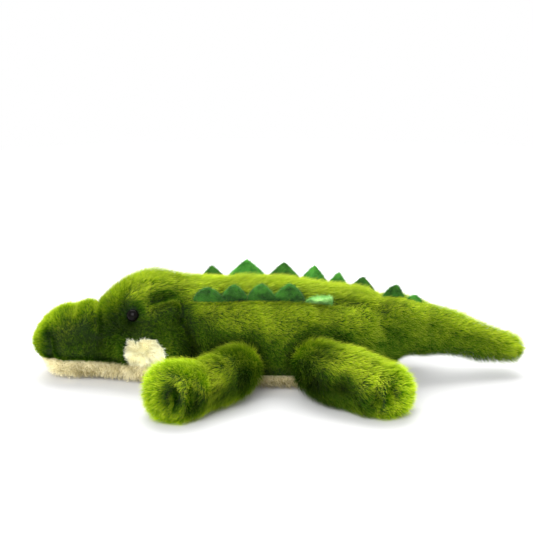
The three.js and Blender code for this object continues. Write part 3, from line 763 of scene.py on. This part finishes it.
def rumpGap(x, y, z):
    return np.abs(x - places["rump"] - 0.004 * (z - 42) ** 2 * (z < 42) + 0.03 * (z - 42) ** 2 * (z > 42))


def cheekGap(x, y, z):
    return np.hypot((x - places["cheek"][0]) / 1.25, z - places["cheek"][1])


browGap = lineGap((-75, 49.5), (-55, 55))
snoutGap = lineGap((-110.3, 47), (-108.5, 30))
noseGap = lineGap((-136.5, 26), (-134, 13))

# Each fold: a point's distance from it, its depth and width, where it runs and how far the nap parts
bodyFolds = [
    (neckGap, 3.2, 3.6, lambda x, y, z: step(z, 4, 14) * step(np.abs(y) + (56 - z) * 0.8, 20, 28), 0.4),
    (backSeamGap, 1.6, 2.6, lambda x, y, z: step(z, 40, 44) * step(x, -58, -50) * step(-x, -50, -40), 0.3),
    (rumpGap, 1.3, 5.0, lambda x, y, z: step(z, 24, 34) * step(np.abs(y), 8, 16), 0.0),
    (noseGap, 1.9, 2.6, lambda x, y, z: step(np.abs(y), 5, 10), 0.4),
    (browGap, 3.0, 4.2, lambda x, y, z: step(np.abs(y), 12, 20), 0.35),
    (snoutGap, 3.0, 3.4, lambda x, y, z: step(z, 26, 36), 0.35),
    (cheekGap, 4.0, 3.6, lambda x, y, z: step(np.abs(y), 12, 20) * (x < -60), 0.5),
]

# Each bump on the sides: its height, place and reach, and how far from the middle it starts
bodyBumps = [
    (2.2, (-79.5, 22.5), (13, 9), 8),
    (2.2, (-76, 58.5), (14, 5), 6),
    (1.8, (-86.5, 51), (7, 3.5), 8),
    (1.6, (-85.5, 43.5), (6.5, 6.5), 8),
    (1.6, (-115, 43), (4.5, 7), -8),
]

# Painted light (above 0) and painted shade (below 0) in the nap field on the sides: how much, its place and
# its reach
paintedLightAndShadeMarks = [
    (-0.5, (-103, 24), (17, 10)),
    (-0.3, (-88, 36), (8, 8)),
    (0.3, (-84, 57), (14, 6)),
    (-0.5, (-69, 54.5), (11, 4.5)),
    (-0.5, (-124, 44), (4, 5)),
    (-0.4, (-67, 46), (9, 8)),
    (-0.25, (-77, 38), (10, 6)),
    (-0.6, (-50, 28), (12, 13)),
    (-0.35, (0, 16), (50, 9)),
    (-0.2, (50, 42), (14, 9)),
    (-0.2, (72, 42), (16, 7)),
    (0.15, (-10, 40), (30, 8)),
    (-0.35, (8, 49), (44, 6)),
    (-0.35, (-122, 38), (16, 7)),
]


def napParting(gap, x, y, z, reach):  # strands lean away from a fold on both of its sides
    nudge = 0.05
    slope = np.stack([
        gap(x + nudge, y, z) - gap(x - nudge, y, z),
        gap(x, y + nudge, z) - gap(x, y - nudge, z),
        gap(x, y, z + nudge) - gap(x, y, z - nudge),
    ], 1) / (2 * nudge)
    return slope * hill(gap(x, y, z), reach)[:, None]


def carveBody(mesh):  # folds, brow and gathers that stitching gives the stuffed head and body
    points, normals = pointsOf(mesh), normalsOf(mesh)
    x, y, z = points.T / mm
    side = step(np.abs(y), 8, 16)
    lift = np.zeros(len(points))
    for gap, depth, width, share, parting in bodyFolds:
        lift -= depth * hill(gap(x, y, z), width) * share(x, y, z)
    lift -= 1.2 * hill(z - places["mouth"], 1.8) * step(-x, 64, 68)
    lift += 0.8 * hill(z - places["mouth"] - 6, 4.0) * step(-x, 92, 100)
    lift += 1.2 * hill(x - places["rump"] + 7, 4.5) * step(z, 20, 30) * (1 - step(y, 2, 10))
    for height, place, reach, start in bodyBumps:
        lift += height * spot(x, z, place, reach) * step(np.abs(y), start, start + 8)
    turn = np.arctan2(z - places["cheek"][1], x - places["cheek"][0])
    lift += 0.8 * np.cos(5 * turn + 0.6) * hill(cheekGap(x, y, z) - 5, 4.0) * side
    lift += (1.1 * hill(x + 131, 4.5) - 1.1 * hill(x + 122, 3.5)) * step(z, 34, 40)
    lift -= 3.5 * hill(x - 76, 11) * step(-normals[:, 2], 0.1, 0.6)
    lift += 0.9 * noiseValues(points, 17 * mm, 3.1) * step(z, 2, 8)
    setPoints(mesh, points + normals * (lift * mm)[:, None])
    smoothSurface(mesh, 1)


def bodyPileFields(mesh):
    points, normals = pointsOf(mesh), normalsOf(mesh)
    x, y, z = points.T / mm
    up = normals[:, 2]
    outward = np.sign(y)
    torso = step(x, -62, -50) * (1 - step(x, 56, 70))
    tail = step(x, 56, 70)
    head = 1 - step(x, -62, -50)
    above = step(z, 40, 52)
    flow = torso[:, None] * np.stack([0.36 + 0.36 * above, 0.25 * outward * above, -0.2 * (1 - above)], 1)
    flow += tail[:, None] * np.stack([0.5 + 0.2 * above, 0.1 * outward, -0.15 + 0 * x], 1)
    flow += head[:, None] * np.stack([0.22 + 0.3 * above, 0.12 * outward * above, -0.12 * (1 - above)], 1)
    cheekX, cheekZ = places["cheek"]
    inCheek = spot(x, z, places["cheek"], (15, 11)) * step(np.abs(y), 12, 20) * (x < -60)
    away = 0.7 * np.stack([(x - cheekX) / 12, np.zeros_like(x), (z - cheekZ) / 10 - 0.2], 1)
    flow += inCheek[:, None] * (away - flow)
    eyeX, eyeZ = places["eye"]
    fromEye = np.hypot(x - eyeX, z - eyeZ) + 40 * (np.abs(y) < 14)
    apart = np.stack([(x - eyeX), np.zeros_like(x), (z - eyeZ)], 1) / np.maximum(fromEye, 1)[:, None]
    flow += 0.9 * hill(fromEye, 6.0)[:, None] * apart
    seamHeight = np.where(x < -62, places["mouth"], places["belly"])
    fromSeam = step(z, seamHeight - 0.5, seamHeight)
    overSeam = fromSeam * (1 - step(z, seamHeight + 2, seamHeight + 9)) * (x < 60)
    underSeam = (1 - fromSeam) * (x < 60)
    flow[:, 2] += 0.55 * overSeam + 0.35 * underSeam * step(z, 1, 5)
    size = 1.0 * torso + 0.95 * tail + 0.9 * head
    size *= 1 - 0.15 * step(-x, 96, 112)
    size *= 1 - 0.3 * overSeam
    size *= 1 - 0.55 * step(x, 54, 62) * (1 - step(x, 90, 98)) * step(up, 0.2, 0.5) * hill(y, 8)
    size *= 1 - 0.5 * hill(x - 56, 9) * step(y, 6, 12) * step(z, 36, 42)
    size *= 1 - 0.5 * hill(fromEye, 4.6)
    size *= 1 - 0.4 * hill(backSeamGap(x, y, z), 5) * torso  # clipped short round the scutes
    for gap, depth, width, share, parting in bodyFolds:
        near = share(x, y, z)
        flow += parting * napParting(gap, x, y, z, 1.6 * width) * near[:, None]
        size *= 1 - 0.3 * hill(gap(x, y, z), width) * near
    flow += 0.22 * noiseVectors(points, 15 * mm, 1.7) + 0.12 * noiseVectors(points, 5 * mm, 8.2)
    cover = (1 - step(3.4 - fromEye, 0, 0.8)) * (1 - 0.5 * (up < -0.8) * (z < 4))
    side = step(np.abs(y), 8, 16)
    # Painted light and shade in the nap field: upward-facing pile lighter, downward-facing darker
    laid = 0.07 + 0.88 * step(up, 0.1, 0.9) - 0.1 * step(-up, 0, 0.5)
    for height, place, reach in paintedLightAndShadeMarks:
        laid += height * spot(x, z, place, reach) * side
    # Painted shade in the brow, neck and snout creases
    laid -= 0.45 * hill(browGap(x, y, z), 5) * step(np.abs(y), 12, 20)
    laid -= 0.45 * hill(neckGap(x, y, z), 5) * step(np.abs(y) + (56 - z) * 0.8, 20, 28)
    laid -= 0.3 * hill(snoutGap(x, y, z), 4) * side
    for rootX, rootZ, reach in ((-24, 17, 15), (23.5, 18.7, 17)):  # shade where a leg meets the flank
        legGap = np.maximum(0, np.hypot(x - rootX, z - rootZ) - reach)
        laid -= 0.6 * hill(legGap, 4) * step(np.abs(y), 16, 22)
    # Painted shade in the nose crease, a painted highlight on the snout's tip and painted shade round the
    # eye
    laid -= 0.2 * hill(noseGap(x, y, z), 3.0) * step(np.abs(y), 5, 10)
    laid += 0.6 * step(-x, 137, 142)
    laid -= 0.5 * hill(fromEye - 4, 3)
    # Painted light before the rump fold, painted shade behind it, painted light on the tail's tip and
    # underside
    laid += 0.25 * hill(x - 53, 5) * step(z, 26, 34) - 0.3 * hill(x - 64, 6) * step(z, 20, 30)
    laid += 0.35 * step(x, 115, 142)
    laid += 0.1 * tail * step(up, -0.5, 0.1)
    laid += (0.3 - 0.17 * tail) * noiseValues(points, 12 * mm, 4.4) + 0.2 * noiseValues(points, 5 * mm, 9.1)
    # Cream pile: random tone, lighter towards the jaw's front end and below the cheek, painted shade on the
    # belly and a painted contact shadow along the jaw's underside
    creamNapAndPaintedLight = 0.15 + 0.9 * noiseValues(points, 7 * mm, 2.6)
    creamNapAndPaintedLight += 0.5 * step(-x, 118, 136) + 0.5 * hill(x + 84, 12)
    creamNapAndPaintedLight += 0.15 * step(-x, 92, 112) - 0.4 * (x > -60)
    creamNapAndPaintedLight = np.clip(creamNapAndPaintedLight, 0, 1) - 0.7 * (1 - step(z, 1.5, 8)) * step(x, -130, -104)
    laid = np.where(z < seamHeight, creamNapAndPaintedLight, laid)
    setFields(mesh, normals, inSurface(flow, normals), size, cover, np.clip(laid, -1, 1))


body = makeBody()
stuffSkin(body, bodySeamWeights(pointsOf(body.data)))
carveBody(body.data)
bodyPileFields(body.data)
print(f"body skin has {len(body.data.vertices)} points")

# Where the body is cut: the pieces across the neck and the rump lie between two bodies and ride on neither
cuts = {"head": -68 * mm, "neck": -44 * mm, "torso": 54 * mm, "rump": 84 * mm}
levels = {"mouth": places["mouth"] * mm, "belly": places["belly"] * mm}


def cutPiece(name, source, planes):  # the part of a closed skin between planes, closed again inside
    bm = openMesh(source)
    for place, direction in planes:
        found = bmesh.ops.bisect_plane(
            bm, geom=bm.verts[:] + bm.edges[:] + bm.faces[:], plane_co=place, plane_no=direction,
            clear_outer=True, dist=0.001 * mm,
        )
        rim = [e for e in found["geom_cut"] if isinstance(e, bmesh.types.BMEdge) and e.is_boundary]
        filled = bmesh.ops.holes_fill(bm, edges=rim, sides=0)["faces"]
        bmesh.ops.triangulate(bm, faces=filled)
    made = closeMesh(name, bm)
    shadeSmooth(made.data)
    return made


def before(cut, way=1):
    return Vector((cuts[cut], 0, 0)), Vector((way, 0, 0))


def after(cut):
    return before(cut, -1)


def under(level, way=1):
    return Vector((0, 0, levels[level])), Vector((0, 0, way))


def over(level):
    return under(level, -1)


def strip(name, source, keep):  # the faces of a skin that a pile piece grows on
    bm = openMesh(source)
    gone = [f for f in bm.faces if not keep(f.calc_center_median() / mm, f.normal)]
    bmesh.ops.delete(bm, geom=gone, context="FACES")
    made = closeMesh(name + " roots", bm)
    shadeSmooth(made.data)
    return made


# Each skin: the planes that cut it out, the CAD nodes that it stands for, its body and its fabric
skinPieces = {
    "head_form": ([before("head"), over("mouth")], ["head_skin", "head_filling"], "head", "green"),
    "jaw_form": ([before("head"), under("mouth")], ["jaw_skin"], "head", "cream"),
    "neck_form": ([after("head"), before("neck")], [], ("torso", "head"), "green"),
    "torso_form": ([after("neck"), before("torso"), over("belly")],
                   ["back_panel", "flank_left", "flank_right", "torso_filling"], "torso", "green"),
    "belly_form": ([after("neck"), before("torso"), under("belly")], ["belly_panel"], "torso", "cream"),
    "rump_form": ([after("torso"), before("rump")], [], ("torso", "tail"), "green"),
    "tail_form": ([after("rump")], ["tail_skin_left", "tail_skin_right", "tail_filling"], "tail", "green"),
}


def carry(piece, bodyName):  # a piece rides on one body, or, between the torso and its neighbour, keeps its place with no body
    if isinstance(bodyName, str):
        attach(piece, bodyName)
    else:
        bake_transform(piece)


def finishSkin(skin, stands, bodyName, colour):
    dress(skin.data, backings[colour])
    carry(skin, bodyName)
    if stands:
        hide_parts(*stands)


skins = {name: cutPiece(name, body, spec[0]) for name, spec in skinPieces.items()}
bpy.data.objects.remove(body)
print("body cut into", len(skins), "skins")


def capFree(centre, normal):  # leaves out the closing faces inside the cuts
    flat = 0.999
    flatX = abs(normal.x) > flat and min(abs(centre.x * mm - x) for x in cuts.values()) < weldGap
    flatZ = abs(normal.z) > flat and min(abs(centre.z * mm - z) for z in levels.values()) < weldGap
    return not (flatX or flatZ)


cheekForm = {
    "outline": [(-88, 12), (-88.8, 21), (-88.6, 25.5), (-87, 28.8), (-85, 28.8), (-83.4, 27), (-80.6, 29),
                (-76, 30), (-71.5, 29), (-68.4, 25), (-66, 20), (-65.6, 16), (-68, 12)],
    "raised": 0.5 * mm,
    "thickness": 1.6 * mm,
}


def inCheekPatch(centre):  # counts how often a line to the right crosses the patch's outline
    x, z = centre.x, centre.z
    outline = cheekForm["outline"]
    inside = False
    for (x0, z0), (x1, z1) in zip(outline, outline[1:] + outline[:1]):
        if (z0 > z) != (z1 > z) and x < x0 + (z - z0) / (z1 - z0) * (x1 - x0):
            inside = not inside
    return inside and abs(centre.y) > 10


def onBack(centre):
    return centre.z > 30 and backSeamGap(centre.x, centre.y, centre.z) < 0


pileSettings = {
    "long": {"Density": 5.3e6, "Length": 7.2 * mm, "Width": 0.25 * mm, "Segments": 3, "Bend": 0.3,
             "Stray": 0.2, "Tuft size": 2.6 * mm, "Tuft pull": 0.22},
    "cheek": {"Density": 11e6, "Length": 5.6 * mm, "Width": 0.26 * mm, "Segments": 3, "Bend": 0.25,
              "Stray": 0.22, "Tuft size": 2.4 * mm, "Tuft pull": 0.25},
    "short": {"Density": 3.8e6, "Length": 6.2 * mm, "Width": 0.34 * mm, "Segments": 3, "Bend": 0.3,
              "Stray": 0.3, "Tuft size": 2.8 * mm, "Tuft pull": 0.35},
}
bodyPiles = [
    ("head_pile_left", "head_form", "long", "green", lambda c: c.y < 0 and not inCheekPatch(c)),
    ("head_pile_right", "head_form", "long", "green", lambda c: c.y >= 0 and not inCheekPatch(c)),
    ("cheek_pile_left", "head_form", "cheek", "palePaintedLit", lambda c: c.y < 0 and inCheekPatch(c)),
    ("cheek_pile_right", "head_form", "cheek", "palePaintedLit", lambda c: c.y >= 0 and inCheekPatch(c)),
    ("jaw_pile", "jaw_form", "short", "cream", lambda c: True),
    ("neck_pile", "neck_form", "long", "green", lambda c: c.z > 12),
    ("throat_pile", "neck_form", "short", "cream", lambda c: c.z <= 12),
    ("back_pile", "torso_form", "long", "green", onBack),
    ("flank_pile_left", "torso_form", "long", "green", lambda c: c.y < 0 and not onBack(c)),
    ("flank_pile_right", "torso_form", "long", "green", lambda c: c.y >= 0 and not onBack(c)),
    ("belly_pile", "belly_form", "short", "cream", lambda c: True),
    ("rump_pile", "rump_form", "long", "green", lambda c: True),
    ("tail_pile", "tail_form", "long", "green", lambda c: True),
]
for seed, (name, skinName, kind, colour, keep) in enumerate(bodyPiles, 1):
    source = strip(name, skins[skinName], lambda c, n: capFree(c, n) and keep(c))
    pile = growPile(name, source, pileSettings[kind], seed, pileMaterials[colour])
    carry(pile, skinPieces[skinName][2])
print("body pile grown")


# Cheek patches: cream panels let into the sides of the head
def makeCheek(side, sign):
    def keep(centre, normal):
        return capFree(centre, normal) and centre.y * sign > 0 and inCheekPatch(centre)

    name = f"cheek_form_{side}"
    patch = strip(name, skins["head_form"], keep)
    points, normals = pointsOf(patch.data), normalsOf(patch.data)
    setPoints(patch.data, points + normals * cheekForm["raised"])
    solid = patch.modifiers.new("thick", "SOLIDIFY")
    solid.thickness = cheekForm["thickness"]
    solid.offset = -1
    applyModifiers(patch)
    patch.name = name
    finishSkin(patch, [f"cheek_patch_{side}"], "head", "cream")


makeCheek("left", -1)
makeCheek("right", 1)
for name, spec in skinPieces.items():
    finishSkin(skins[name], *spec[1:])
print("body skins finished")


# Legs: round-ended stuffed rolls whose paws are stitched into three toes
legForm = {
    "voxel": 2.6 * mm,
    "smoothing": 5,
    "inset": 3.7 * mm,
    "sewnIn": 6 * mm,
    "toeDepth": 6.5,
    "toeStitches": {"front": [(-58.5, 98, 15), (-45.5, 94, 9)], "hind": [(64.5, 90, 13), (52.5, 89.5, 5)]},
    "pile": {"Density": 4.9e6, "Length": 7.4 * mm, "Width": 0.25 * mm, "Segments": 3, "Bend": 0.3,
             "Stray": 0.2, "Tuft size": 2.8 * mm, "Tuft pull": 0.25},
    "firstSeed": 40,
}
legPivots = {joint["child"]: Vector(joint["pos_m"]) for joint in frame["joints"] if "leg" in joint["name"]}


def makeLeg(kind, side, seed):
    front = kind == "front"
    bodyName = f"{kind}_leg_{side}"
    stands = [f"{kind}_leg_skin_{side}", f"{kind}_leg_filling_{side}"]
    leg = remeshed(joinedCopy(f"{kind}_leg_form_{side}", stands), legForm)
    root = np.array(legPivots[bodyName])
    flat = (pointsOf(leg.data) - root)[:, :2]
    axis = np.append(flat.mean(0) / np.linalg.norm(flat.mean(0)), 0)
    across = np.array([-axis[1], axis[0], 0])
    reach = (flat @ axis[:2]).max() / mm
    pits = [np.array([x, math.copysign(y, root[1]), z]) for x, y, z in legForm["toeStitches"][kind]]

    def measured():  # points, normals, then places along, across and up, and the stitches' gap
        points = pointsOf(leg.data)
        local = (points - root) / mm
        gap = np.min([np.linalg.norm((points / mm - pit) * (1, 1, 0.3), axis=1) for pit in pits], axis=0)
        return points, normalsOf(leg.data), local @ axis, local @ across, local[:, 2], gap

    points, normals, u, v, w, pitGap = measured()
    seams = np.max([step(4 - points[:, 2] / mm, 0, 2), hill(pitGap, 3.0), step(-u, 6, 12)], axis=0)
    stuffSkin(leg, np.clip(seams, 0.02, 1))
    points, normals, u, v, w, pitGap = measured()
    lift = 0.9 * hill(pitGap - 8, 3.4) - legForm["toeDepth"] * hill(pitGap, 3.8)
    if front:
        lift -= 1.6 * hill(u - 12, 3.0) * step(w, 4, 12)
        saddle = 0.8 + 1.6 * step(normals[:, 2], 0, 0.6)
        lift += 0.8 * hill(u - reach + 8, 8.0) - saddle * hill(u - reach + 34, 10.0)
    lift += 0.9 * noiseValues(points, 15 * mm, 5.0 + seed)
    points = points + normals * (lift * mm)[:, None]
    points[:, 1] -= np.sign(root[1]) * legForm["sewnIn"] * step(12 - u, 0, 20)
    if not front:
        points[:, 2] *= 1 - 0.2 * step(u, reach - 34, reach - 10)
    setPoints(leg.data, points)
    smoothSurface(leg.data, 1)
    points, normals, u, v, w, pitGap = measured()
    paw = step(u, reach - 20, reach - 6)
    flow = (0.7 - 0.3 * paw)[:, None] * axis
    flow[:, 2] -= 0.22 * (1 - paw)
    flow += (v / 12 * paw * 0.25)[:, None] * across
    for pit in pits:
        away = points / mm - pit
        flow += 0.6 * unit(away) * hill(np.linalg.norm(away, axis=1) - 3, 4.0)[:, None]
    flow += 0.26 * noiseVectors(points, 14 * mm, 2.0 + seed)
    flow += 0.14 * noiseVectors(points, 5 * mm, 6.0 + seed)
    size = 1.0 + 0.05 * paw - 0.7 * hill(pitGap, 4.2)
    hidden = step(-u, 9, 15)
    cover = (1 - 0.75 * hidden) * (1 - 0.5 * hill(pitGap, 3.0))
    upper = step(normals[:, 2], 0.25, 0.75)
    # Painted light from the floor's bounce along the leg's lower edge
    paintedBounceLight = 1 - step(points[:, 2] / mm, 3, 12)
    # Painted light: upward-facing pile and the paw lighter
    laid = 0.35 + 0.9 * step(normals[:, 2], -0.1, 0.7) + 0.8 * paw + (0.8 if front else 0.2) * paintedBounceLight
    if front:
        # Painted shade at the front shoulder, painted light on the top of the paw
        laid -= 1.0 * hill(np.hypot(u - 4, w - 6), 14)
        laid += 0.8 * step(normals[:, 2], 0, 0.5) * hill(u - reach + 20, 12)
    else:  # painted shade on the thigh and in the hollow before the paw
        laid -= 1.2 * hill(np.hypot(u - 4, w + 4), 20) * (1 - upper * step(u, 8, 18))
        laid -= 0.9 * hill(np.hypot(u - 22, w - 2), 8) * (1 - 0.6 * upper)
        # Painted light on the hind paw
        laid += 0.3 * paw
    # Painted shade in the stitched pits
    laid -= 3.2 * hill(pitGap, 5 if front else 4)
    laid += 0.4 * noiseValues(points, 11 * mm, 3.0 + seed) + 0.2 * noiseValues(points, 5 * mm, 7.0 + seed)
    setFields(leg.data, normals, inSurface(flow, normals), size, cover, np.clip(laid, -1, 1.8))
    name = f"{kind}_leg_pile_{side}"
    source = strip(name, leg, lambda c, n: True)
    pileSeed = legForm["firstSeed"] + seed
    pile = growPile(name, source, legForm["pile"], pileSeed, pileMaterials["green"])
    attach(pile, bodyName)
    finishSkin(leg, stands, bodyName, "green")


legOrder = [("front", "left"), ("front", "right"), ("hind", "left"), ("hind", "right")]
for seed, (kind, side) in enumerate(legOrder):
    makeLeg(kind, side, seed)
print("legs made")


# Felt scutes: cut sheets with softened edges and a light fuzz
scuteForm = {
    "voxel": 0.5 * mm,
    "wider": {"scute_right_6": 1.15, "scute_tail_2": 1.2},
    "warp": 0.35 * mm,
    # Scutes in the felt with painted light, and the folded scute, which is flattened and painted lighter
    "bright": ["scute_right_2", "scute_right_4", "scute_right_5", "scute_tail_2"],
    "folded": ["scute_left_5"],
    "fuzz": {"Density": 7e6, "Length": 1.5 * mm, "Width": 0.13 * mm, "Segments": 2, "Bend": 0.2,
             "Stray": 0.9, "Tuft size": 1.0 * mm, "Tuft pull": 0.1},
    "firstSeed": 60,
}


def makeScute(nodeName, seed):
    kind = next((key for key in ("bright", "folded") if nodeName in scuteForm[key]), "paintedShade")
    piece = joinedCopy(nodeName + "_felt", [nodeName])
    evenMesh(piece, scuteForm["voxel"])
    mesh = piece.data
    smoothSurface(mesh, 1)
    points = pointsOf(mesh)
    low, high = points.min(0), points.max(0)
    share = (points - low) / (high - low)
    rise = share[:, 2] ** 2
    warp = noiseVectors(points, 9 * mm, seed * 1.3) * np.array([0.5, 1.0, 0.5])
    middle = (low + high) / 2
    if kind == "folded":  # flattened towards its front end
        points[:, 2] = middle[2] + (points[:, 2] - middle[2]) * (0.3 + 0.7 * share[:, 0])
    else:  # straighter sides
        top = points[share[:, 2] > 0.9].mean(0)
        spine = middle[0] + (top[0] - middle[0]) * share[:, 2]
        sharper = 0.42 if "right" in nodeName else 0.15
        points[:, 0] = spine + (points[:, 0] - spine) * (1.08 - sharper * step(share[:, 2], 0.35, 1.0))
        points[:, 0] = middle[0] + (points[:, 0] - middle[0]) * scuteForm["wider"].get(nodeName, 1.0)
    setPoints(mesh, points + warp * (rise * scuteForm["warp"] * 2)[:, None])
    shadeSmooth(mesh)
    even = np.ones(len(mesh.vertices))
    tangle = 0.8 * noiseVectors(pointsOf(mesh), 1.5 * mm, seed)
    setFields(mesh, normalsOf(mesh), tangle, even, even, even)
    name = nodeName + "_fuzz"
    source = strip(name, piece, lambda c, n: True)
    fuzz = growPile(name, source, scuteForm["fuzz"], scuteForm["firstSeed"] + seed, felts[kind])
    dress(mesh, felts[kind])
    bodyName = cadNodes[nodeName]["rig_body"]
    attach(fuzz, bodyName)
    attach(piece, bodyName)
    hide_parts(nodeName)


for seed, nodeName in enumerate(sorted(n for n in cadNodes if n.startswith("scute"))):
    makeScute(nodeName, seed)
print("scutes made")


# Safety eyes: a domed button with a thin rim, on its ridged stem
eyeForm = {"radius": 3.7 * mm, "dome": 3.1 * mm, "rim": 0.2 * mm, "backShare": 0.94, "backDepth": 0.25 * mm,
           "domeRings": 12, "domeShape": 0.9, "sides": 40, "forward": 14, "upward": 16, "measured": 0.5 * mm,
           "stem": 1.6 * mm, "stemLength": 10 * mm, "ridges": 3, "ridgePitch": 1.5 * mm, "ridgeShare": 0.8}


def makeEye(side):
    points = pointsOf(cadNodes[f"eye_{side}"].data)
    forward, upward = math.radians(eyeForm["forward"]), math.radians(eyeForm["upward"])
    outward = -1 if side == "left" else 1
    axis = np.array([
        -math.sin(forward) * math.cos(upward),
        outward * math.cos(forward) * math.cos(upward),
        math.sin(upward),
    ])
    heights = points @ axis
    middle = points[heights > heights.max() - eyeForm["measured"]].mean(0)
    base = middle + axis * (heights.max() - middle @ axis - eyeForm["dome"])
    radius, dome, stem, rim = eyeForm["radius"], eyeForm["dome"], eyeForm["stem"], eyeForm["rim"]
    foot, groove = -eyeForm["stemLength"], stem * eyeForm["ridgeShare"]
    profile = [(0, foot), (groove, foot)]
    for k in range(eyeForm["ridges"]):
        height = foot + (1 + k) * eyeForm["ridgePitch"]
        profile += [(stem, height), (groove, height)]
    back = (radius * eyeForm["backShare"], -eyeForm["backDepth"])
    profile += [(stem, 0), back, (radius, 0), (radius, rim)]
    for k in range(1, eyeForm["domeRings"]):
        angle = math.pi / 2 * k / eyeForm["domeRings"]
        across = radius * math.cos(angle) ** eyeForm["domeShape"]
        profile.append((across, rim + (dome - rim) * math.sin(angle)))
    profile.append((0, dome))
    bm = bmesh.new()
    line = [bm.verts.new((r, 0, z)) for r, z in profile]
    edges = [bm.edges.new(pair) for pair in zip(line, line[1:])]
    bmesh.ops.spin(bm, geom=line + edges, axis=(0, 0, 1), cent=(0, 0, 0), angle=2 * math.pi,
                   steps=eyeForm["sides"], use_merge=True)
    bmesh.ops.remove_doubles(bm, verts=bm.verts, dist=weldGap / 2)
    bmesh.ops.recalc_face_normals(bm, faces=bm.faces)
    eye = closeMesh(f"eye_button_{side}", bm)
    turn = Vector(axis).to_track_quat("Z", "Y").to_matrix().to_4x4()
    eye.data.transform(Matrix.Translation(Vector(base)) @ turn)
    shadeSmooth(eye.data)
    dress(eye.data, eyePlastic)
    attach(eye, "head")
    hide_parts(f"eye_{side}")
    dress(cadNodes[f"eye_washer_{side}"].data, washerPlastic)


makeEye("left")
makeEye("right")
print("eyes made")


# Floor, light and camera
stage = {
    "elevation": 18.0,
    "distance": 0.9,
    "focalPixels": 1467.0,
    "framePixels": 533,
    "originPixel": (278.5, 371.5),
    "sensor": 36,
    "worldStrength": 1.0,
    "floorHalf": 6,
    "floorGlow": 0.05,
    "paperLight": 0.86,
    "paperSeen": 0.5,
    "sweep": (0.35, 0.9),
}
lamps = {  # where each stands, what it faces, its size and its power
    "overhead": ((-0.05, 0.85, 1.1), (0, 0, 0), 1.6, 46.0),
    "lit backdrop": ((0.1, 1.6, 0.6), (0, 0, 0.03), 1.6, 10.0),
    "front fill": ((-0.4, -1.3, 0.9), (0, 0, 0.03), 1.0, 31.0),
}


def makeCamera():
    angle = math.radians(stage["elevation"])
    ahead = Vector((0, math.cos(angle), -math.sin(angle)))
    up = Vector((0, math.sin(angle), math.cos(angle)))
    right = Vector((1, 0, 0))
    middle = stage["framePixels"] / 2
    across, down = [(pixel - middle) / stage["focalPixels"] for pixel in stage["originPixel"]]
    pitch = math.atan(down)
    aim = ahead * math.cos(pitch) + up * math.sin(pitch)
    top = up * math.cos(pitch) - ahead * math.sin(pitch)
    yaw = math.atan(across * math.cos(pitch))
    look = aim * math.cos(yaw) - right * math.sin(yaw)
    side = right * math.cos(yaw) + aim * math.sin(yaw)
    camera = linkObject("camera", bpy.data.cameras.new("camera"))
    camera.data.sensor_width = stage["sensor"]
    camera.data.lens = stage["focalPixels"] / stage["framePixels"] * stage["sensor"]
    camera.data.clip_start = 0.01
    turn = Matrix((side, top, -look)).transposed().to_4x4()
    camera.matrix_world = Matrix.Translation(-ahead * stage["distance"]) @ turn
    bpy.context.scene.camera = camera


def makeLamp(name, place, target, size, power):
    lamp = bpy.data.lights.new(name, "AREA")
    lamp.shape = "SQUARE"
    lamp.size = size
    lamp.energy = power
    holder = linkObject(name, lamp)
    holder.location = place
    holder.rotation_mode = "QUATERNION"
    holder.rotation_quaternion = (Vector(target) - Vector(place)).to_track_quat("-Z", "Y")


def makeWorld():
    world = bpy.data.worlds.new("studio")
    bpy.context.scene.world = world
    world.use_nodes = True
    world.node_tree.nodes.clear()
    add = partial(addNode, world.node_tree)
    rays = add("LightPath")
    strength = add("MapRange", rays.outputs["Is Camera Ray"], 0.0, 1.0, stage["worldStrength"], 1.0)
    glow = add("Background", {"Color": (1, 1, 1, 1), "Strength": strength})
    add("OutputWorld", {"Surface": glow})


def makeFloor():  # white paper that runs out into the lit backdrop
    bm = bmesh.new()
    half = stage["floorHalf"]
    corners = [(-half, -half), (half, -half), (half, half), (-half, half)]
    bm.faces.new([bm.verts.new((x, y, 0)) for x, y in corners])
    floor = closeMesh("floor", bm)
    material, add = newMaterial("white paper sweep")
    rays = add("LightPath")
    paper, seenPaper = [
        add("BsdfDiffuse", {"Color": (level, level, level, 1)})
        for level in (stage["paperLight"], stage["paperSeen"])
    ]
    glow = add("Emission", {"Color": (1, 1, 1, 1), "Strength": stage["floorGlow"]})
    both = add("AddShader", seenPaper, glow)
    place = add("TexCoord").outputs["Object"]
    reach = add("VectorMath.LENGTH", place)
    far = add("MapRange", reach.outputs["Value"], *stage["sweep"])
    backdrop = add("Emission", {"Color": (1, 1, 1, 1), "Strength": 1.0})
    faded = add("MixShader", far, both, backdrop)
    seen = add("MixShader", rays.outputs["Is Camera Ray"], paper, faded)
    add("OutputMaterial", {"Surface": seen})
    dress(floor.data, material)


makeCamera()
makeWorld()
makeFloor()
for name, setting in lamps.items():
    makeLamp(name, *setting)
bpy.context.scene.view_settings.view_transform = "Standard"
print("strand triangles", sum(pileCounts.values()), pileCounts)
